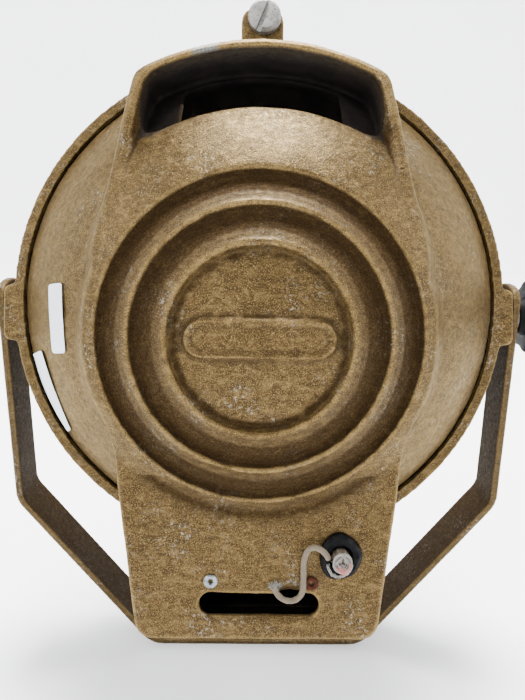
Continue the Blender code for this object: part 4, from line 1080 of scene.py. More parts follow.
def front_solid():
    """Ring, flared barrel, tray, lugs and the ring's knuckle in one casting."""
    rim_in, hollow_r, seat_r = RING_R - RIM_WIDTH, 0.1205, LENS_R + 0.0022
    profile = [
        (rim_in, 0.0), (RING_R, 0.0), *FLARE,
        (BARREL_R, BARREL_FRONT_Y), (seat_r, BARREL_FRONT_Y),
        (seat_r, 0.0740), (LENS_R - 0.0050, 0.0740), (LENS_R - 0.0050, 0.0705),
        (BARREL_R - WALL, 0.0680), (BARREL_R - WALL, 0.0380), (hollow_r, 0.0200),
        (hollow_r, 0.0045), (rim_in, 0.0045),
    ]
    side_lug = rounded_box(-LUG_FACE, LUG_FACE, -0.0213, 0.0085, 0.0040)
    lug_cut = turned([(0, -0.010), (0.1250, -0.010), (0.1250, 0.05), (0, 0.05)], 96, False)
    reach = SLIDE_TRAVEL + 0.0005
    focus_slot = arc(0, KNOB_Y + reach, 0.0036, 0, 180, 12) + arc(0, KNOB_Y - reach, 0.0036, 180, 360, 12)
    steps = [
        (ADD, prism(tray_outline(), GAP, TRAY_FRONT_Y)),
        (CUT, prism(tray_outline(WALL), -0.010, TRAY_FRONT_Y - WALL)),
        (CUT, block(-0.0400, 0.0400, 0.0050, TRAY_FRONT_Y - WALL, -0.1120, BOX_TOP_Z)),
        (ADD, carve(prism(side_lug, 0.0, 0.0370), (CUT, lug_cut))),
        (ADD, prism(rounded_lug(0.0105, 0.1262, 0.1510), 0.0, 0.0170)),
        *knuckle(-HINGE_LEAF, HINGE_LEAF, 1),
        drilled(0.0038, -0.002, 0.0150, 24, x=SCREW_X, z=LUG_HOLE_Z),
        drilled(PIN_BORE, -0.040, 0.040, 24, "X", z=HINGE_Z),
        (CUT, prism(focus_slot, BOX_BOTTOM_Z - 0.003, BOX_BOTTOM_Z + 0.006, "Z")),
    ]
    for side in (-1, 1):
        steps.append(drilled(0.0043, *across(side, 0.1250, 0.1400), 24, "X", y=PIVOT_Y, z=PIVOT_Z))
    return remeshed(carve(turned(profile, 180), *steps), VOXEL * 1.1, 3)


def build_front_housing():
    mesh = roughen(roughen(front_solid(), 0.014, 0.00020, 3.0), 0.0035, 0.00007, 8.0)
    mark(mesh)
    x, y, z = points_of(mesh).T
    r = np.hypot(x, z)
    skin_r, skin_y = np.array(FLARE).T
    # soot and painted shade inside the barrel behind the ring and inside the tray
    barrel = (r < 0.1215) * (y > 0.0038) * (z > -0.1075) * (y < 0.0735)
    barrel = barrel * (r < np.interp(y, skin_y, skin_r) - 0.0016)
    behind = (y > 0.0028) | (z > BOX_BOTTOM_Z + 0.0026)
    tray = (z <= -0.1045) * (np.abs(x) < 0.0620) * (y < TRAY_FRONT_Y - 0.0020) * (y > -0.001) * behind
    write_attributes(mesh, soot=np.maximum(barrel, tray * inside_box(x, z)), bare=0.0, soil=0.0)
    return mesh


# ---- yoke ----------------------------------------------------------------------------------------
def yoke_line(offset):
    """The strap's bent line, moved inwards by offset and with round bends, (x, z)."""
    line = [Vector((YOKE_HALF, YOKE_DROP + ARM_TOP)), Vector((YOKE_HALF, BEND_Z)), Vector((FOOT_HALF, 0.0))]
    line += [Vector((-p.x, p.y)) for p in reversed(line)]
    shifted = []
    for i, p in enumerate(line):
        normals = []
        for a, b in ((i - 1, i), (i, i + 1)):
            if a >= 0 and b < len(line):
                d = (line[b] - line[a]).normalized()
                normals.append(Vector((d.y, -d.x)))
        n = sum(normals, Vector((0, 0))).normalized()
        shifted.append(p + n * offset / n.dot(normals[0]))
    radius = 0.012 + STRAP_T - offset
    out = [tuple(shifted[0])]
    for before, c, after in zip(shifted, shifted[1:], shifted[2:]):
        a, b = (before - c).normalized(), (after - c).normalized()
        half = acos(max(-1.0, min(1.0, a.dot(b)))) / 2
        cut = radius / sin(half) * cos(half)
        centre = c + (a + b).normalized() * radius / sin(half)
        start, end = c + a * cut - centre, c + b * cut - centre
        turn = start.angle_signed(end)
        for i in range(13):
            v = start.copy()
            v.rotate(Matrix.Rotation(-turn * i / 12, 2))
            out.append(tuple(centre + v))
    out.append(tuple(shifted[-1]))
    return out


def build_yoke():
    strap = prism(yoke_line(0.0) + list(reversed(yoke_line(STRAP_T))), -STRAP_W / 2, STRAP_W / 2)
    top, half, corner, beyond = YOKE_DROP + ARM_TOP, STRAP_W / 2, 0.010, YOKE_HALF + 0.01
    steps = []
    for side in (-1, 1):
        shape = [(side * (half + 0.001), top + 0.001), (side * (half + 0.001), top - corner)]
        shape += arc(side * (half - corner), top - corner, corner, 0 if side > 0 else 180, 90, 14)
        shape.append((side * (half - corner), top + 0.001))
        steps.append((CUT, prism(shape, -beyond, beyond, "X")))
    steps.append(drilled(0.0053, -beyond, beyond, 32, "X", z=YOKE_DROP))
    for x in (-STRAP_HOLE_X, STRAP_HOLE_X):
        steps.append(drilled(0.0055, -0.002, STRAP_T + 0.002, 40, "Z", x=x))
    mesh = roughen(remeshed(carve(strap, *steps), 0.0008, 2), 0.010, 0.00010, 2.0)
    mark(mesh)
    # painted shade on the broad faces, most on those that look at the lamp and lie in its shadow
    co = points_of(mesh)
    normals = np.array([tuple(v.normal) for v in mesh.vertices])
    inward = (normals[:, 0] * -co[:, 0] + normals[:, 2] * (YOKE_DROP - co[:, 2])) > 0.0
    broad = ease((0.60 - np.abs(normals[:, 1])) / 0.30)
    write_attributes(mesh, soil=broad * np.where(inward, 0.90, 0.45), soot=0.0, bare=0.0)
    return mesh


# ---- braided earth lead --------------------------------------------------------------------------
def distances(path):
    """How far along the path each of its points lies."""
    run = [0.0]
    for a, b in zip(path, path[1:]):
        run.append(run[-1] + (b - a).length)
    return run


def smooth_path(points, count):
    """Evenly spaced points on a smooth curve through the route's own points, and its length."""
    fine = []
    last = len(points) - 1
    for i in range(last):
        p0, p1, p2, p3 = (Vector(points[max(0, min(last, j))]) for j in (i - 1, i, i + 1, i + 2))
        for s in range(16):
            t = s / 16
            fine.append(0.5 * ((2 * p1) + (p2 - p0) * t + (2 * p0 - 5 * p1 + 4 * p2 - p3) * t * t
                               + (3 * p1 - p0 - 3 * p2 + p3) * t ** 3))
    fine.append(Vector(points[-1]))
    run = distances(fine)
    path = []
    j = 0
    for i in range(count):
        want = run[-1] * i / (count - 1)
        while j < len(fine) - 2 and run[j + 1] < want:
            j += 1
        span = run[j + 1] - run[j]
        path.append(fine[j].lerp(fine[j + 1], (want - run[j]) / span if span else 0.0))
    return path, run[-1]


def frames_along(path):
    """A point, side and up vector at each place, turning as little as possible."""
    out = []
    up = Vector((0, 0, 1))
    for i, p in enumerate(path):
        ahead = (path[min(i + 1, len(path) - 1)] - path[max(i - 1, 0)]).normalized()
        up = (up - ahead * up.dot(ahead)).normalized()
        out.append((p, ahead.cross(up), up))
    return out


def wire(points, radius, around=8):
    return swept(frames_along([Vector(p) for p in points]), around, lambda i, a: radius)


def build_braided_tube(path, radius, around=28, strands=6, pitch=0.0042):
    """A woven sleeve: two sets of strands wind round the tube and pass over each other."""
    rings = frames_along(path)
    run = distances(path)

    def reach(i, a):
        turn = 2 * pi * run[i] / pitch
        one, two = cos(strands * a + turn), cos(strands * a - turn)
        return radius * (0.82 + 0.18 * max(one, two) ** 2 * (1 if one * two > 0 else 0.65))

    return swept(rings, around, reach)


def build_lead():
    path, length = smooth_path(LEAD_ROUTE, 200)
    lead = piece("braided_lead", build_braided_tube(path, LEAD_R), BRAID, "rear_cover", "braid", "earth_lead")
    ahead = (path[-1] - path[-4]).normalized()
    frayed = tuft(46, path[-1] - ahead * 0.0004, ahead, 1.1, 0.0013, 0.0034, 0.00015, 21)
    end = piece("frayed_lead_end", frayed, FRAY, "rear_cover", "braid")


# ---- lens and front fittings ---------------------------------------------------------------------
def build_lens():
    """Stepped lens: flat behind, ring prisms in front that grow steeper outwards, a domed middle."""
    valley = LENS_BACK + LENS_EDGE
    edge = LENS_R - 0.0005
    profile = [(0.0, LENS_BACK)]
    profile += rounded([(0.0, LENS_BACK), (edge, LENS_BACK), (edge, valley), (edge - 0.0040, valley)],
                       0.0008, False)[1:]
    outer = edge - 0.0045
    pitch = (outer - LENS_DOME_R) / PRISMS
    for i in range(PRISMS):
        r = outer - i * pitch
        height = PRISM_HEIGHT * (0.30 + 0.70 * r / outer)
        for share in (0.0, 0.25, 0.5, 0.75, 1.0):
            profile.append((r - share * (pitch - 0.0005), valley + height * share * (1.25 - 0.25 * share)))
    for i in range(9):
        r = (LENS_DOME_R - 0.0006) * (1 - i / 9)
        profile.append((r, valley + 0.0043 - 0.0040 * (r / LENS_DOME_R) ** 2))
    profile.append((0.0, valley + 0.0043))
    return turned(profile, 144, False)


def build_retaining_ring():
    """Sprung wire ring, with its two ends a little apart at the top."""
    y, r, wire = BARREL_FRONT_Y - 0.0030, LENS_R - 0.0002, 0.0011
    rows, around, gap = 200, 14, 0.035

    def at(i, k):
        turn = gap + (2 * pi - 2 * gap) * i / (rows - 1)
        a = 2 * pi * k / around
        out = r + wire * 1.5 * cos(a)
        return (out * sin(turn), y + wire * sin(a), out * cos(turn))

    return skin(rows, around, at)


def build_colour_runners():
    """Two side guides and a bottom one of folded sheet, each held by domed rivets."""
    half, low, high = 0.1060, -0.1060, 0.0700
    y0 = BARREL_FRONT_Y + GAP
    t, slot, lip = 0.0012, 0.0068, 0.0110
    section = rounded([
        (half - lip, y0), (half + t, y0), (half + t, y0 + slot + 2 * t), (half - lip, y0 + slot + 2 * t),
        (half - lip, y0 + slot + t), (half, y0 + slot + t), (half, y0 + t), (half - lip, y0 + t),
    ], 0.0005)
    dome = [(0, y0 + t + 0.0010), (0.0014, y0 + t + 0.0008), (0.0024, y0 + t), (0.0024, y0 + t - 0.0004),
            (0, y0 + t - 0.0004)]

    def rivets(*places):
        return [(ADD, moved(turned(dome, 24, False), x=x, z=z)) for x, z in places]

    middle = half - 0.0050
    sides = []
    for side in (-1, 1):
        guide = prism([(side * x, y) for x, y in section], low, high, "Z")
        sides.append(carve(guide, *rivets(*((side * middle, z) for z in (-0.085, -0.030, 0.045)))))
    floor = [(y, -x) for x, y in section]
    bottom = prism(floor, -half + lip + 0.001, half - lip - 0.001, "X")
    return *sides, carve(bottom, *rivets(*((x, -middle) for x in (-0.075, 0.0, 0.075))))


# ---- tilt pivot ----------------------------------------------------------------------------------
def at_pivot(mesh):
    return moved(mesh, y=PIVOT_Y, z=PIVOT_Z)


def build_knob():
    """Moulded clamping knob with eight soft lobes and a dished face."""
    x0 = YOKE_HALF + 0.0022
    profile = rounded([
        (0, x0), (0.0105, x0), (0.0108, x0 + 0.0057), (0.0150, x0 + 0.0055), (0.0188, x0 + 0.0057),
        (0.0203, x0 + 0.0100), (0.0203, x0 + 0.0160), (0.0192, x0 + 0.0232), (0.0150, x0 + 0.0235),
        (0.0110, x0 + 0.0234), (0.0085, x0 + 0.0218), (0.0040, x0 + 0.0214), (0, x0 + 0.0214),
    ], 0.0014, False, 5)
    mesh = turned(profile, 160, False, "X")
    for v in mesh.vertices:
        reach = hypot(v.co.y, v.co.z)
        swell = 1 + 0.052 * float(ease((reach - 0.0120) / 0.0060)) * cos(8 * atan2(v.co.z, v.co.y))
        v.co.y *= swell
        v.co.z *= swell
    bore = rod(STUD_R + GAP, x0 - 0.002, x0 + 0.0150, 32, "X")
    return at_pivot(carve(mesh, (CUT, bore)))


def build_pivot_bolt():
    """Hexagon bolt, its head chamfered, with a threaded end in the lug."""
    x = -YOKE_HALF - 0.0022
    hexagon = [(0.0080 * cos(pi * k / 3), 0.0080 * sin(pi * k / 3)) for k in range(6)]
    end = x - 0.0055
    chamfer = [(0, end), (0.0066, end), (0.0082, x - 0.0046), (0.0082, x - 0.0003), (0.0078, x), (0, x)]
    head = carve(prism(hexagon, end, x, "X"), (KEEP, turned(chamfer, 64, False, "X")))
    return at_pivot(joined(softened(head, 0.0002), threaded(STUD_R, x - 0.0002, -0.1265, 0.00125, "X")))


def pivot_ring(x0, x1, outer, edge):
    return at_pivot(tube(outer, 0.0045, *sorted((x0, x1)), 72, "X", edge))


def build_pivots():
    """Bolt, stud, washers and friction discs on the tilt axis."""
    piece("pivot_hex_bolt", build_pivot_bolt(), ZINC, "lamp_housing", "zinc_steel", "pivot_bolt")
    stud = at_pivot(threaded(STUD_R, 0.1265, YOKE_HALF + 0.0160, 0.00125, "X"))
    piece("tilt_threaded_stud", stud, ZINC, "lamp_housing", "zinc_steel", "tilt_stud")
    face, out = YOKE_HALF - STRAP_T, YOKE_HALF + GAP
    for side, name in SIDES:
        disc = pivot_ring(side * (LUG_FACE + GAP), side * (face - GAP), 0.0130, 0.0002)
        piece("friction_ring_" + name, disc, FIBRE, "lamp_housing", "fibre", "friction_disc_" + name)
        washer = pivot_ring(side * out, side * (out + 0.0016), 0.0100, 0.0003)
        piece("steel_washer_" + name, washer, PITTED, "lamp_housing", "zinc_steel", "pivot_washer_" + name)
    piece("fluted_knob", build_knob(), BAKELITE, "tilt_knob", "bakelite", "tilt_knob")


# ---- cover fittings ------------------------------------------------------------------------------
def build_cover_screw():
    """Cheese-head screw with a slot turned out of square, and its thread."""
    back, front = -0.0123, LUG_BACK_Y - GAP
    profile = rounded([(0, back), (0.0068, back), (0.0084, back + 0.0016), (0.0084, front), (0, front)],
                      0.0005, False, 4)
    slot = block(-0.0012, 0.0012, back - 0.001, back + 0.0024, -0.010, 0.010)
    slot.transform(Matrix.Rotation(radians(22), 4, "Y"))
    head = carve(turned(profile, 96, False), (CUT, slot))
    screw = joined(softened(head, 0.00025), threaded(SCREW_R, front - 0.0005, 0.0120, 0.0010))
    return moved(screw, x=SCREW_X, z=LUG_HOLE_Z)


def build_hinge_pin():
    profile = rounded([(0, -0.0300), (0.0029, -0.0300), (0.0029, -0.0275), (0.0015, -0.0275),
                       (0.0015, 0.0300), (0, 0.0300)], 0.0005, False, 4)
    return moved(turned(profile, 40, False, "X"), z=HINGE_Z)


def build_rivet():
    """Tubular rivet: a rolled, pierced head on the plate and its shank."""
    y = PLATE_Y - GAP
    return turned(rounded([
        (0.0009, y - 0.0004), (0.0016, y - 0.0013), (0.0026, y - 0.0014), (0.0034, y - 0.0008),
        (0.0035, y), (0.0018, y), (0.0018, PLATE_Y + WALL + 0.0010), (0.0009, PLATE_Y + WALL + 0.0010),
    ], 0.0003), 48)


def build_grommet():
    """Thick rubber bush, pressed out of round by the cable."""
    y = PLATE_Y - GAP
    bore = 0.0048
    mesh = turned(rounded([
        (bore, y - 0.0030), (0.0060, y - 0.0046), (0.0084, y - 0.0050), (0.0103, y - 0.0034), (0.0109, y),
        (0.0078, y), (0.0078, PLATE_Y + WALL + GAP), (0.0100, PLATE_Y + WALL + GAP),
        (0.0096, PLATE_Y + WALL + 0.0025), (bore, PLATE_Y + WALL + 0.0025),
    ], 0.0009, True, 4), 96)
    for v in mesh.vertices:
        reach, angle = hypot(v.co.x, v.co.z), atan2(v.co.z, v.co.x)
        outer = float(ease((reach - 0.0062) / 0.0030)) * (1.0 if v.co.y < y + 0.0001 else 0.0)
        dent = 0.045 * sin(2 * angle - 1.2) + 0.034 * sin(3 * angle + 2.0) + 0.020 * sin(5 * angle)
        lump = 0.0010 * noise.noise(v.co / 0.0036) * outer
        v.co.x *= 1 + dent * outer
        v.co.z *= 1 + dent * outer
        v.co.y += lump - 0.0005 * outer * sin(2 * angle + 1.0) * float(ease((y - v.co.y) / 0.002))
    return moved(mesh, x=GROMMET_X, z=GROMMET_Z)


def fibre(start, ahead, length, radius, curl, seed):
    """One loose thread, curling as it goes."""
    rows = 9
    side = ahead.cross(Vector((0.3, 0.1, 0.95))).normalized()
    up = ahead.cross(side)

    def middle(share):
        wander = Vector((seed, share * 1.6, seed * 0.37))
        drift = side * noise.noise(wander) + up * noise.noise(wander + Vector((7.0, 0.0, 0.0)))
        return start + ahead * length * share + drift * curl * share

    rings = [(middle(i / (rows - 1)), side, up) for i in range(rows)]
    return swept(rings, 5, lambda i, a: radius * (1.0 if i < rows - 2 else 0.6))


def tuft(count, centre, ahead, spread, reach, length, radius, seed):
    """Loose threads that stand out of a cord's cut end."""
    draw = Random(seed)
    threads = []
    side = ahead.cross(Vector((0.2, 0.3, 0.9))).normalized()
    up = ahead.cross(side)
    for _ in range(count):
        a, share = draw.uniform(0, 2 * pi), sqrt(draw.random())
        out = side * cos(a) + up * sin(a)
        lean = ahead + out * draw.uniform(0.1, 1.0) * spread * share
        start, thread = centre + out * reach * share, length * draw.uniform(0.45, 1.0)
        threads.append(fibre(start, lean.normalized(), thread, radius * draw.uniform(0.7, 1.2),
                             length * 0.9, draw.uniform(0, 50)))
    return joined(*threads)


def whorl(count, centre, inner, outer, start, sweep, rise, radius, seed):
    """Loose threads that lie curled round the cable's cut end; rise is how far they stand out."""
    draw = Random(seed)
    threads = []
    for _ in range(count):
        r = inner + (outer - inner) * sqrt(draw.random())
        first, turn = start + sweep * draw.uniform(0.0, 0.7), sweep * draw.uniform(0.25, 0.6)
        drift, lift = draw.uniform(-0.0006, 0.0006), rise * draw.uniform(0.2, 1.0)
        points = []
        for i in range(12):
            share = i / 11
            a = first + turn * share
            reach = r + drift * share + 0.00018 * sin(9 * share + seed + r * 4000)
            out = -lift * sin(pi * (0.15 + 0.7 * share))
            points.append(centre + Vector((reach * cos(a), out, reach * sin(a))))
        threads.append(wire(points, radius * draw.uniform(0.7, 1.2), 5))
    return threads


def build_cable():
    """The cut supply cable in its bush: woven sleeve, curled braid and pink core threads."""
    length, steps = 0.0265, 60
    axis = [Vector((GROMMET_X, CABLE_END + length * i / steps, GROMMET_Z)) for i in range(steps + 1)]
    sleeve = build_braided_tube(axis, 0.0045, 64, 14, 0.0120)
    piece("cable_sleeve", sleeve, BRAID, "rear_cover", "braid", "supply_cable")
    end = Vector((GROMMET_X, CABLE_END, GROMMET_Z))
    back = Vector((0, -1, 0))
    cores = [Vector((0.0019 * cos(a), 0, 0.0019 * sin(a))) for a in (0.5, 2.6, 4.7)]
    stubs = [back * (0.0016 * i / 8 - 0.0004) for i in range(9)]
    threads = [build_braided_tube([end + c + step for step in stubs], 0.0014, 24, 6) for c in cores]
    threads += whorl(64, end, 0.0014, 0.0046, 0.0, 2 * pi, 0.0030, 0.00021, 4)
    threads += whorl(22, end + Vector((-0.0014, 0.0006, -0.0016)), 0.0044, 0.0058, radians(170), radians(150),
                     0.0012, 0.00017, 9)
    threads.append(tuft(12, end + back * 0.0002, back, 2.0, 0.0036, 0.0026, 0.00014, 11))
    piece("frayed_braid", joined(*threads), FRAY, "rear_cover", "braid", "cable_cores")
    pink = whorl(16, end + Vector((0.0002, -0.0022, -0.0012)), 0.0008, 0.0034, radians(150), radians(200),
                 0.0020, 0.00019, 7)
    piece("core_threads", joined(*pink), PINK_THREAD, "rear_cover", "braid")


def build_label(centre, width, height, turn):
    """A paper label with round corners, stuck on the dome and trimmed at its edge; centre is (x, z)."""
    outline = resampled(rounded_box(-width / 2, width / 2, -height / 2, height / 2, 0.0014), 120)
    shares = [0.03 + 0.97 * i / 19 for i in range(20)]
    reach = DOME_BASE_R - 0.0009

    def at(i, k):
        front = i < len(shares)
        share = shares[i] if front else shares[2 * len(shares) - 1 - i]
        u, v = outline[k] * share
        x = centre[0] + u * cos(turn) - v * sin(turn)
        z = centre[1] + u * sin(turn) + v * cos(turn)
        pull = min(1.0, reach / hypot(x, z))
        x, z = x * pull, z * pull
        curl = 0.0003 * max(0.0, share - 0.9) * 10 * (v > 0)
        lift = 0.00012 * noise.noise(Vector((x, 0.0, z)) / 0.006) + curl
        return (x, float(dome_y(x, z, (0.0006 if front else 0.0004) + lift)), z)

    return skin(2 * len(shares), len(outline), at)


def build_hood_baffle():
    """Rolled sheet under the vent that keeps stray light in."""
    t, low, high, span = 0.0010, 0.0760, 0.0770, 32
    outline = arc(0, 0, high, 90 + span, 90 - span, 40) + arc(0, 0, low, 90 - span, 90 + span, 40)
    steps = []
    for side in (-1, 1):
        steps.append((ADD, block(*across(side, 0.0340, 0.0340 + t), -0.0330, -0.0080, 0.0675, 0.0835)))
    return softened(carve(prism(outline, -0.0360, 0.0060), *steps), 0.00025)


# ---- sliding focus carriage ----------------------------------------------------------------------
def at_lamp(mesh, z=0.0):
    return moved(mesh, y=FOCUS_Y, z=z)


def build_carriage_plate():
    front = TRAY_FRONT_Y - WALL - SLIDE_TRAVEL - 0.0010
    outline = rounded_box(-0.0400, 0.0400, -0.0065, front, 0.0030)
    plate = prism(outline, CARRIAGE_Z - 0.0020, CARRIAGE_Z, "Z")
    return softened(carve(plate, drilled(0.0033, -0.2, 0.2, 32, "Z", y=KNOB_Y)), 0.0003)


def build_lamp_holder():
    """Glazed ceramic holder with a fluted waist and a socket for the lamp's cap."""
    profile = rounded([
        (0, 0), (0.0190, 0), (0.0190, 0.0060), (0.0160, 0.0080), (0.0160, 0.0140), (0.0154, 0.0150),
        (0.0160, 0.0160), (0.0160, 0.0290), (0.0105, 0.0310), (0.0105, 0.0240), (0, 0.0240),
    ], 0.0009, False, 4)
    return at_lamp(turned(profile, 96, False, "Z"), CARRIAGE_Z + GAP)


def build_lamp_cap():
    """Spun prefocus cap of the lamp with its locating flange."""
    profile = rounded([
        (0, 0), (0.0030, 0), (0.0040, 0.0012), (0.0092, 0.0012), (0.0092, 0.0085), (0.0140, 0.0085),
        (0.0140, 0.0100), (0.0115, 0.0110), (0.0115, 0.0216), (0.0108, 0.0220), (0, 0.0220),
    ], 0.0004, False)
    return at_lamp(turned(profile, 72, False, "Z"), CARRIAGE_Z + 0.0243 + 2 * GAP)


def build_lamp_glass():
    """Tubular bulb blown from thin glass, open at its foot round the stem."""
    t = 0.0009

    def wall(r, top):
        foot = BULB_FOOT_R + r - BULB_R
        points = [(foot + (BULB_R - BULB_FOOT_R) * float(ease(i / 8)), BULB_Z + 0.0150 * i / 8)
                  for i in range(9)]
        points += [(r * cos(pi / 2 * k / 12), top - r + r * sin(pi / 2 * k / 12)) for k in range(12)]
        return points

    ring = [(0.0, BULB_TOP - t)] + wall(BULB_R - t, BULB_TOP - t)[::-1] + wall(BULB_R, BULB_TOP)
    return at_lamp(turned(ring + [(0.0, BULB_TOP)], 72, False, "Z"))


def build_stem():
    """Glass stem with its flattened pinch, inside the bulb."""
    def at(i, k):
        share = i / 23
        a = 2 * pi * k / 40
        pinch = float(ease((share - 0.45) / 0.3))
        r = 0.0050 - 0.0010 * sin(pi * share)
        return (r * sin(a) * (1 + 0.2 * pinch), -r * cos(a) * (1 - 0.55 * pinch), 0.0200 * share)

    return at_lamp(skin(24, 40, at), BULB_Z + GAP)


def build_filament():
    """Four upright tungsten coils hung in a flat grid between two support wires."""
    half, low = 0.0068, BULB_Z + 0.0150
    parts = []
    for x in (-0.0048, -0.0016, 0.0016, 0.0048):
        turns, r = 16, 0.0010
        coil = []
        for i in range(turns * 12 + 1):
            a = 2 * pi * i / 12
            coil.append((x + r * cos(a), FOCUS_Y + r * sin(a), half * (2 * i / (turns * 12) - 1)))
        parts.append(wire(coil, 0.00022, 6))
    for side in (-1, 1):
        parts.append(wire([(side * 0.0030, FOCUS_Y, low), (side * 0.0034, FOCUS_Y, -0.0200),
                           (side * 0.0062, FOCUS_Y, -0.0120), (side * 0.0066, FOCUS_Y, 0.0),
                           (side * 0.0066, FOCUS_Y, half + 0.0006)], 0.0005))
    for z in (-half - 0.0004, half + 0.0004):
        parts.append(wire([(-0.0066, FOCUS_Y, z), (0.0, FOCUS_Y, z), (0.0066, FOCUS_Y, z)], 0.0004))
    return joined(*parts)


def build_terminal_block():
    """Porcelain block with two wire holes and a screw beside each."""
    low = CARRIAGE_Z + GAP
    outline = rounded_box(TERMINAL_X - 0.0070, TERMINAL_X + 0.0070, 0.0100, 0.0340, 0.0015)
    steps = [drilled(0.0019, TERMINAL_TOP - 0.0060, TERMINAL_TOP + 0.001, 28, "Z", x=TERMINAL_X, y=y)
             for y, _ in TERMINAL_HOLES]
    steps += [drilled(0.0017, low + 0.0060, low + 0.0090, 28, "Z", x=TERMINAL_X - 0.0050, y=y)
              for y, _ in TERMINAL_HOLES]
    return softened(carve(prism(outline, low, TERMINAL_TOP, "Z"), *steps), 0.0005)


def lamp_lead_route(y):
    """From one hole of the terminal block, over in a loop, to the side of the lamp's holder."""
    return [
        (TERMINAL_X, y, TERMINAL_TOP - 0.0050), (TERMINAL_X, y, TERMINAL_TOP + 0.0020),
        (TERMINAL_X + 0.0025, y, TERMINAL_TOP + 0.0070), (TERMINAL_X + 0.0070, y, TERMINAL_TOP + 0.0080),
        (-0.0168, y + (FOCUS_Y - y) * 0.45, TERMINAL_TOP + 0.0060),
    ]


def build_reflector():
    """Spun spherical mirror centred on the filament, with a rolled rim."""
    radius, t, widest, steps = 0.0600, 0.0010, radians(44), 40

    def bowl(r):
        angles = [widest * i / steps for i in range(steps + 1)]
        return [(r * sin(a), FOCUS_Y - r * cos(a)) for a in angles]

    rim_r, rim_y = bowl(radius + t / 2)[-1]
    rim = [(rim_r + 0.0009 * cos(radians(a)), rim_y + 0.0009 * sin(radians(a))) for a in range(-120, 121, 30)]
    return turned(bowl(radius + t)[:-1] + rim + bowl(radius)[-2::-1], 128, False)


def build_reflector_bracket():
    """Folded steel strip from the carriage up to the back of the mirror, (y, z) from the side."""
    t = 0.0015
    foot = CARRIAGE_Z + GAP
    outline = [
        (0.0024, foot), (-0.0060, foot), (-0.0060, -0.0640), (-0.0262, -0.0410),
        (-0.0250, -0.0400), (-0.0045, -0.0634), (-0.0045, foot + t), (0.0024, foot + t),
    ]
    return softened(prism(rounded(outline, 0.0008), -0.0090, 0.0090, "X"), 0.0003)


def build_focus_knob():
    """Knurled thumb nut under the tray that slides and clamps the carriage."""
    top = BOX_BOTTOM_Z - 0.0006
    profile = rounded([
        (0, top - 0.0130), (0.0090, top - 0.0130), (0.0110, top - 0.0112), (0.0110, top - 0.0040),
        (0.0100, top - 0.0026), (0.0075, top - 0.0024), (0.0075, top), (0, top),
    ], 0.0006, False, 4)
    mesh = turned(profile, 216, False, "Z")
    for v in mesh.vertices:
        reach = hypot(v.co.x, v.co.y)
        knurl = 1 + 0.028 * float(ease((reach - 0.0096) / 0.0010)) * cos(36 * atan2(v.co.y, v.co.x))
        v.co.x *= knurl
        v.co.y *= knurl
    bore = rod(SCREW_R + GAP, top - 0.0078, top + 0.001, 32, "Z")
    return moved(carve(mesh, (CUT, bore)), y=KNOB_Y)


def build_carriage():
    """Everything that slides along the beam with the lamp."""
    body = "focus_carriage"
    piece("carriage_deck", build_carriage_plate(), ZINC, body, "zinc_steel", "carriage_plate")
    for side, name in SIDES:
        bush = moved(tube(0.0052, RAIL_R + GAP, 0.0160, 0.0440, 56, "Y", 0.0006), x=side * RAIL_X, z=RAIL_Z)
        piece("brass_bush_" + name, bush, BRASS, body, "brass", "slide_bush_" + name)
    piece("ceramic_holder", build_lamp_holder(), CERAMIC, body, "ceramic", "lamp_holder")
    piece("porcelain_terminals", build_terminal_block(), CERAMIC, body, "ceramic", "terminal_block")
    for y, name in TERMINAL_HOLES:
        path, _ = smooth_path(lamp_lead_route(y), 90)
        lead = build_braided_tube(path, 0.0012, 20, 5, 0.0034)
        piece("woven_lead_" + name, lead, BRAID, body, "braid", "lamp_lead_" + name)
    piece("prefocus_cap", build_lamp_cap(), ZINC, body, "zinc_steel", "lamp_cap")
    piece("bulb_envelope", build_lamp_glass(), LAMP_GLASS, body, "lamp_glass", "lamp_glass")
    piece("bulb_stem", build_stem(), LAMP_GLASS, body, "lamp_glass")
    piece("filament_grid", build_filament(), TUNGSTEN, body, "zinc_steel", "lamp_filament")
    piece("mirror_bowl", build_reflector(), MIRROR, body, "mirror", "reflector")
    piece("mirror_strip", build_reflector_bracket(), ZINC, body, "zinc_steel", "reflector_bracket")
    shank = moved(threaded(SCREW_R, BOX_BOTTOM_Z - 0.0080, CARRIAGE_Z - GAP, 0.0010, "Z"), y=KNOB_Y)
    piece("focus_threaded_screw", shank, ZINC, "focus_knob", "zinc_steel", "focus_screw")
    piece("knurled_nut", build_focus_knob(), BAKELITE, "focus_knob", "bakelite", "focus_knob")


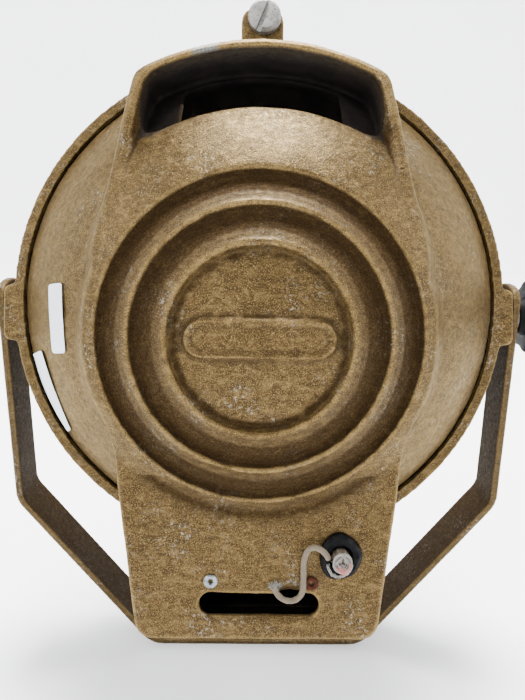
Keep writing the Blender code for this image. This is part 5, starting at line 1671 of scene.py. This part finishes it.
def build_front_fittings():
    body = "lamp_housing"
    piece("stepped_lens", build_lens(), LENS_GLASS, body, "lens_glass", "fresnel_lens")
    piece("lens_wire_ring", build_retaining_ring(), ZINC, body, "zinc_steel", "lens_retaining_ring")
    for name, mesh in zip(("left", "right", "bottom"), build_colour_runners()):
        piece("colour_guide_" + name, mesh, BLACK, body, "black_paint", "colour_runner_" + name)
    for side, name in SIDES:
        rail = rod(RAIL_R, 0.0060, TRAY_FRONT_Y + 0.0010, 48, "Y", 0.0004)
        piece("slide_rod_" + name, moved(rail, x=side * RAIL_X, z=RAIL_Z), ZINC, body, "zinc_steel",
              "focus_rail_" + name)
    piece("hinge_rod", build_hinge_pin(), ZINC, body, "zinc_steel", "hinge_pin")


def build_cover_fittings():
    body = "rear_cover"
    piece("baffle_sheet", build_hood_baffle(), BLACK, body, "black_paint", "hood_baffle")
    looks = ((ALLOY, "zinc_steel"), (RUST, "rusty_steel"))
    for (x, z), (_, name), (mat, slot) in zip(RIVETS, SIDES, looks):
        piece("tubular_rivet_" + name, moved(build_rivet(), x=x, z=z), mat, body, slot, "plate_rivet_" + name)
    piece("rubber_bush", build_grommet(), RUBBER, body, "rubber", "cable_grommet")
    build_cable()
    labels = (("upper", (-0.0993, -0.0103), 0.0088, 0.0340, 2),
              ("lower", (-0.1090, -0.0485), 0.0100, 0.0440, 18))
    for name, centre, width, height, turn in labels:
        label = build_label(centre, width, height, radians(turn))
        piece("paper_label_" + name, label, PAPER, body, "paper", "label_" + name)
    piece("slotted_screw", build_cover_screw(), PITTED, "cover_screw", "zinc_steel", "cover_screw")


build_camera()
build_floor()
build_lights()
build_lead()
rear, front = build_rear_housing(), build_front_housing()
piece("rear_casting", rear, GOLD, "rear_cover", "hammered_paint", "rear_housing", sharp=60)
piece("front_casting", front, GOLD, "lamp_housing", "hammered_paint", "front_housing", sharp=60)
piece("yoke_strap", build_yoke(), SHADED_YOKE_PAINT, "yoke", "yoke_paint", "yoke", lamp=False, sharp=60)
build_front_fittings()
build_pivots()
build_cover_fittings()
build_carriage()
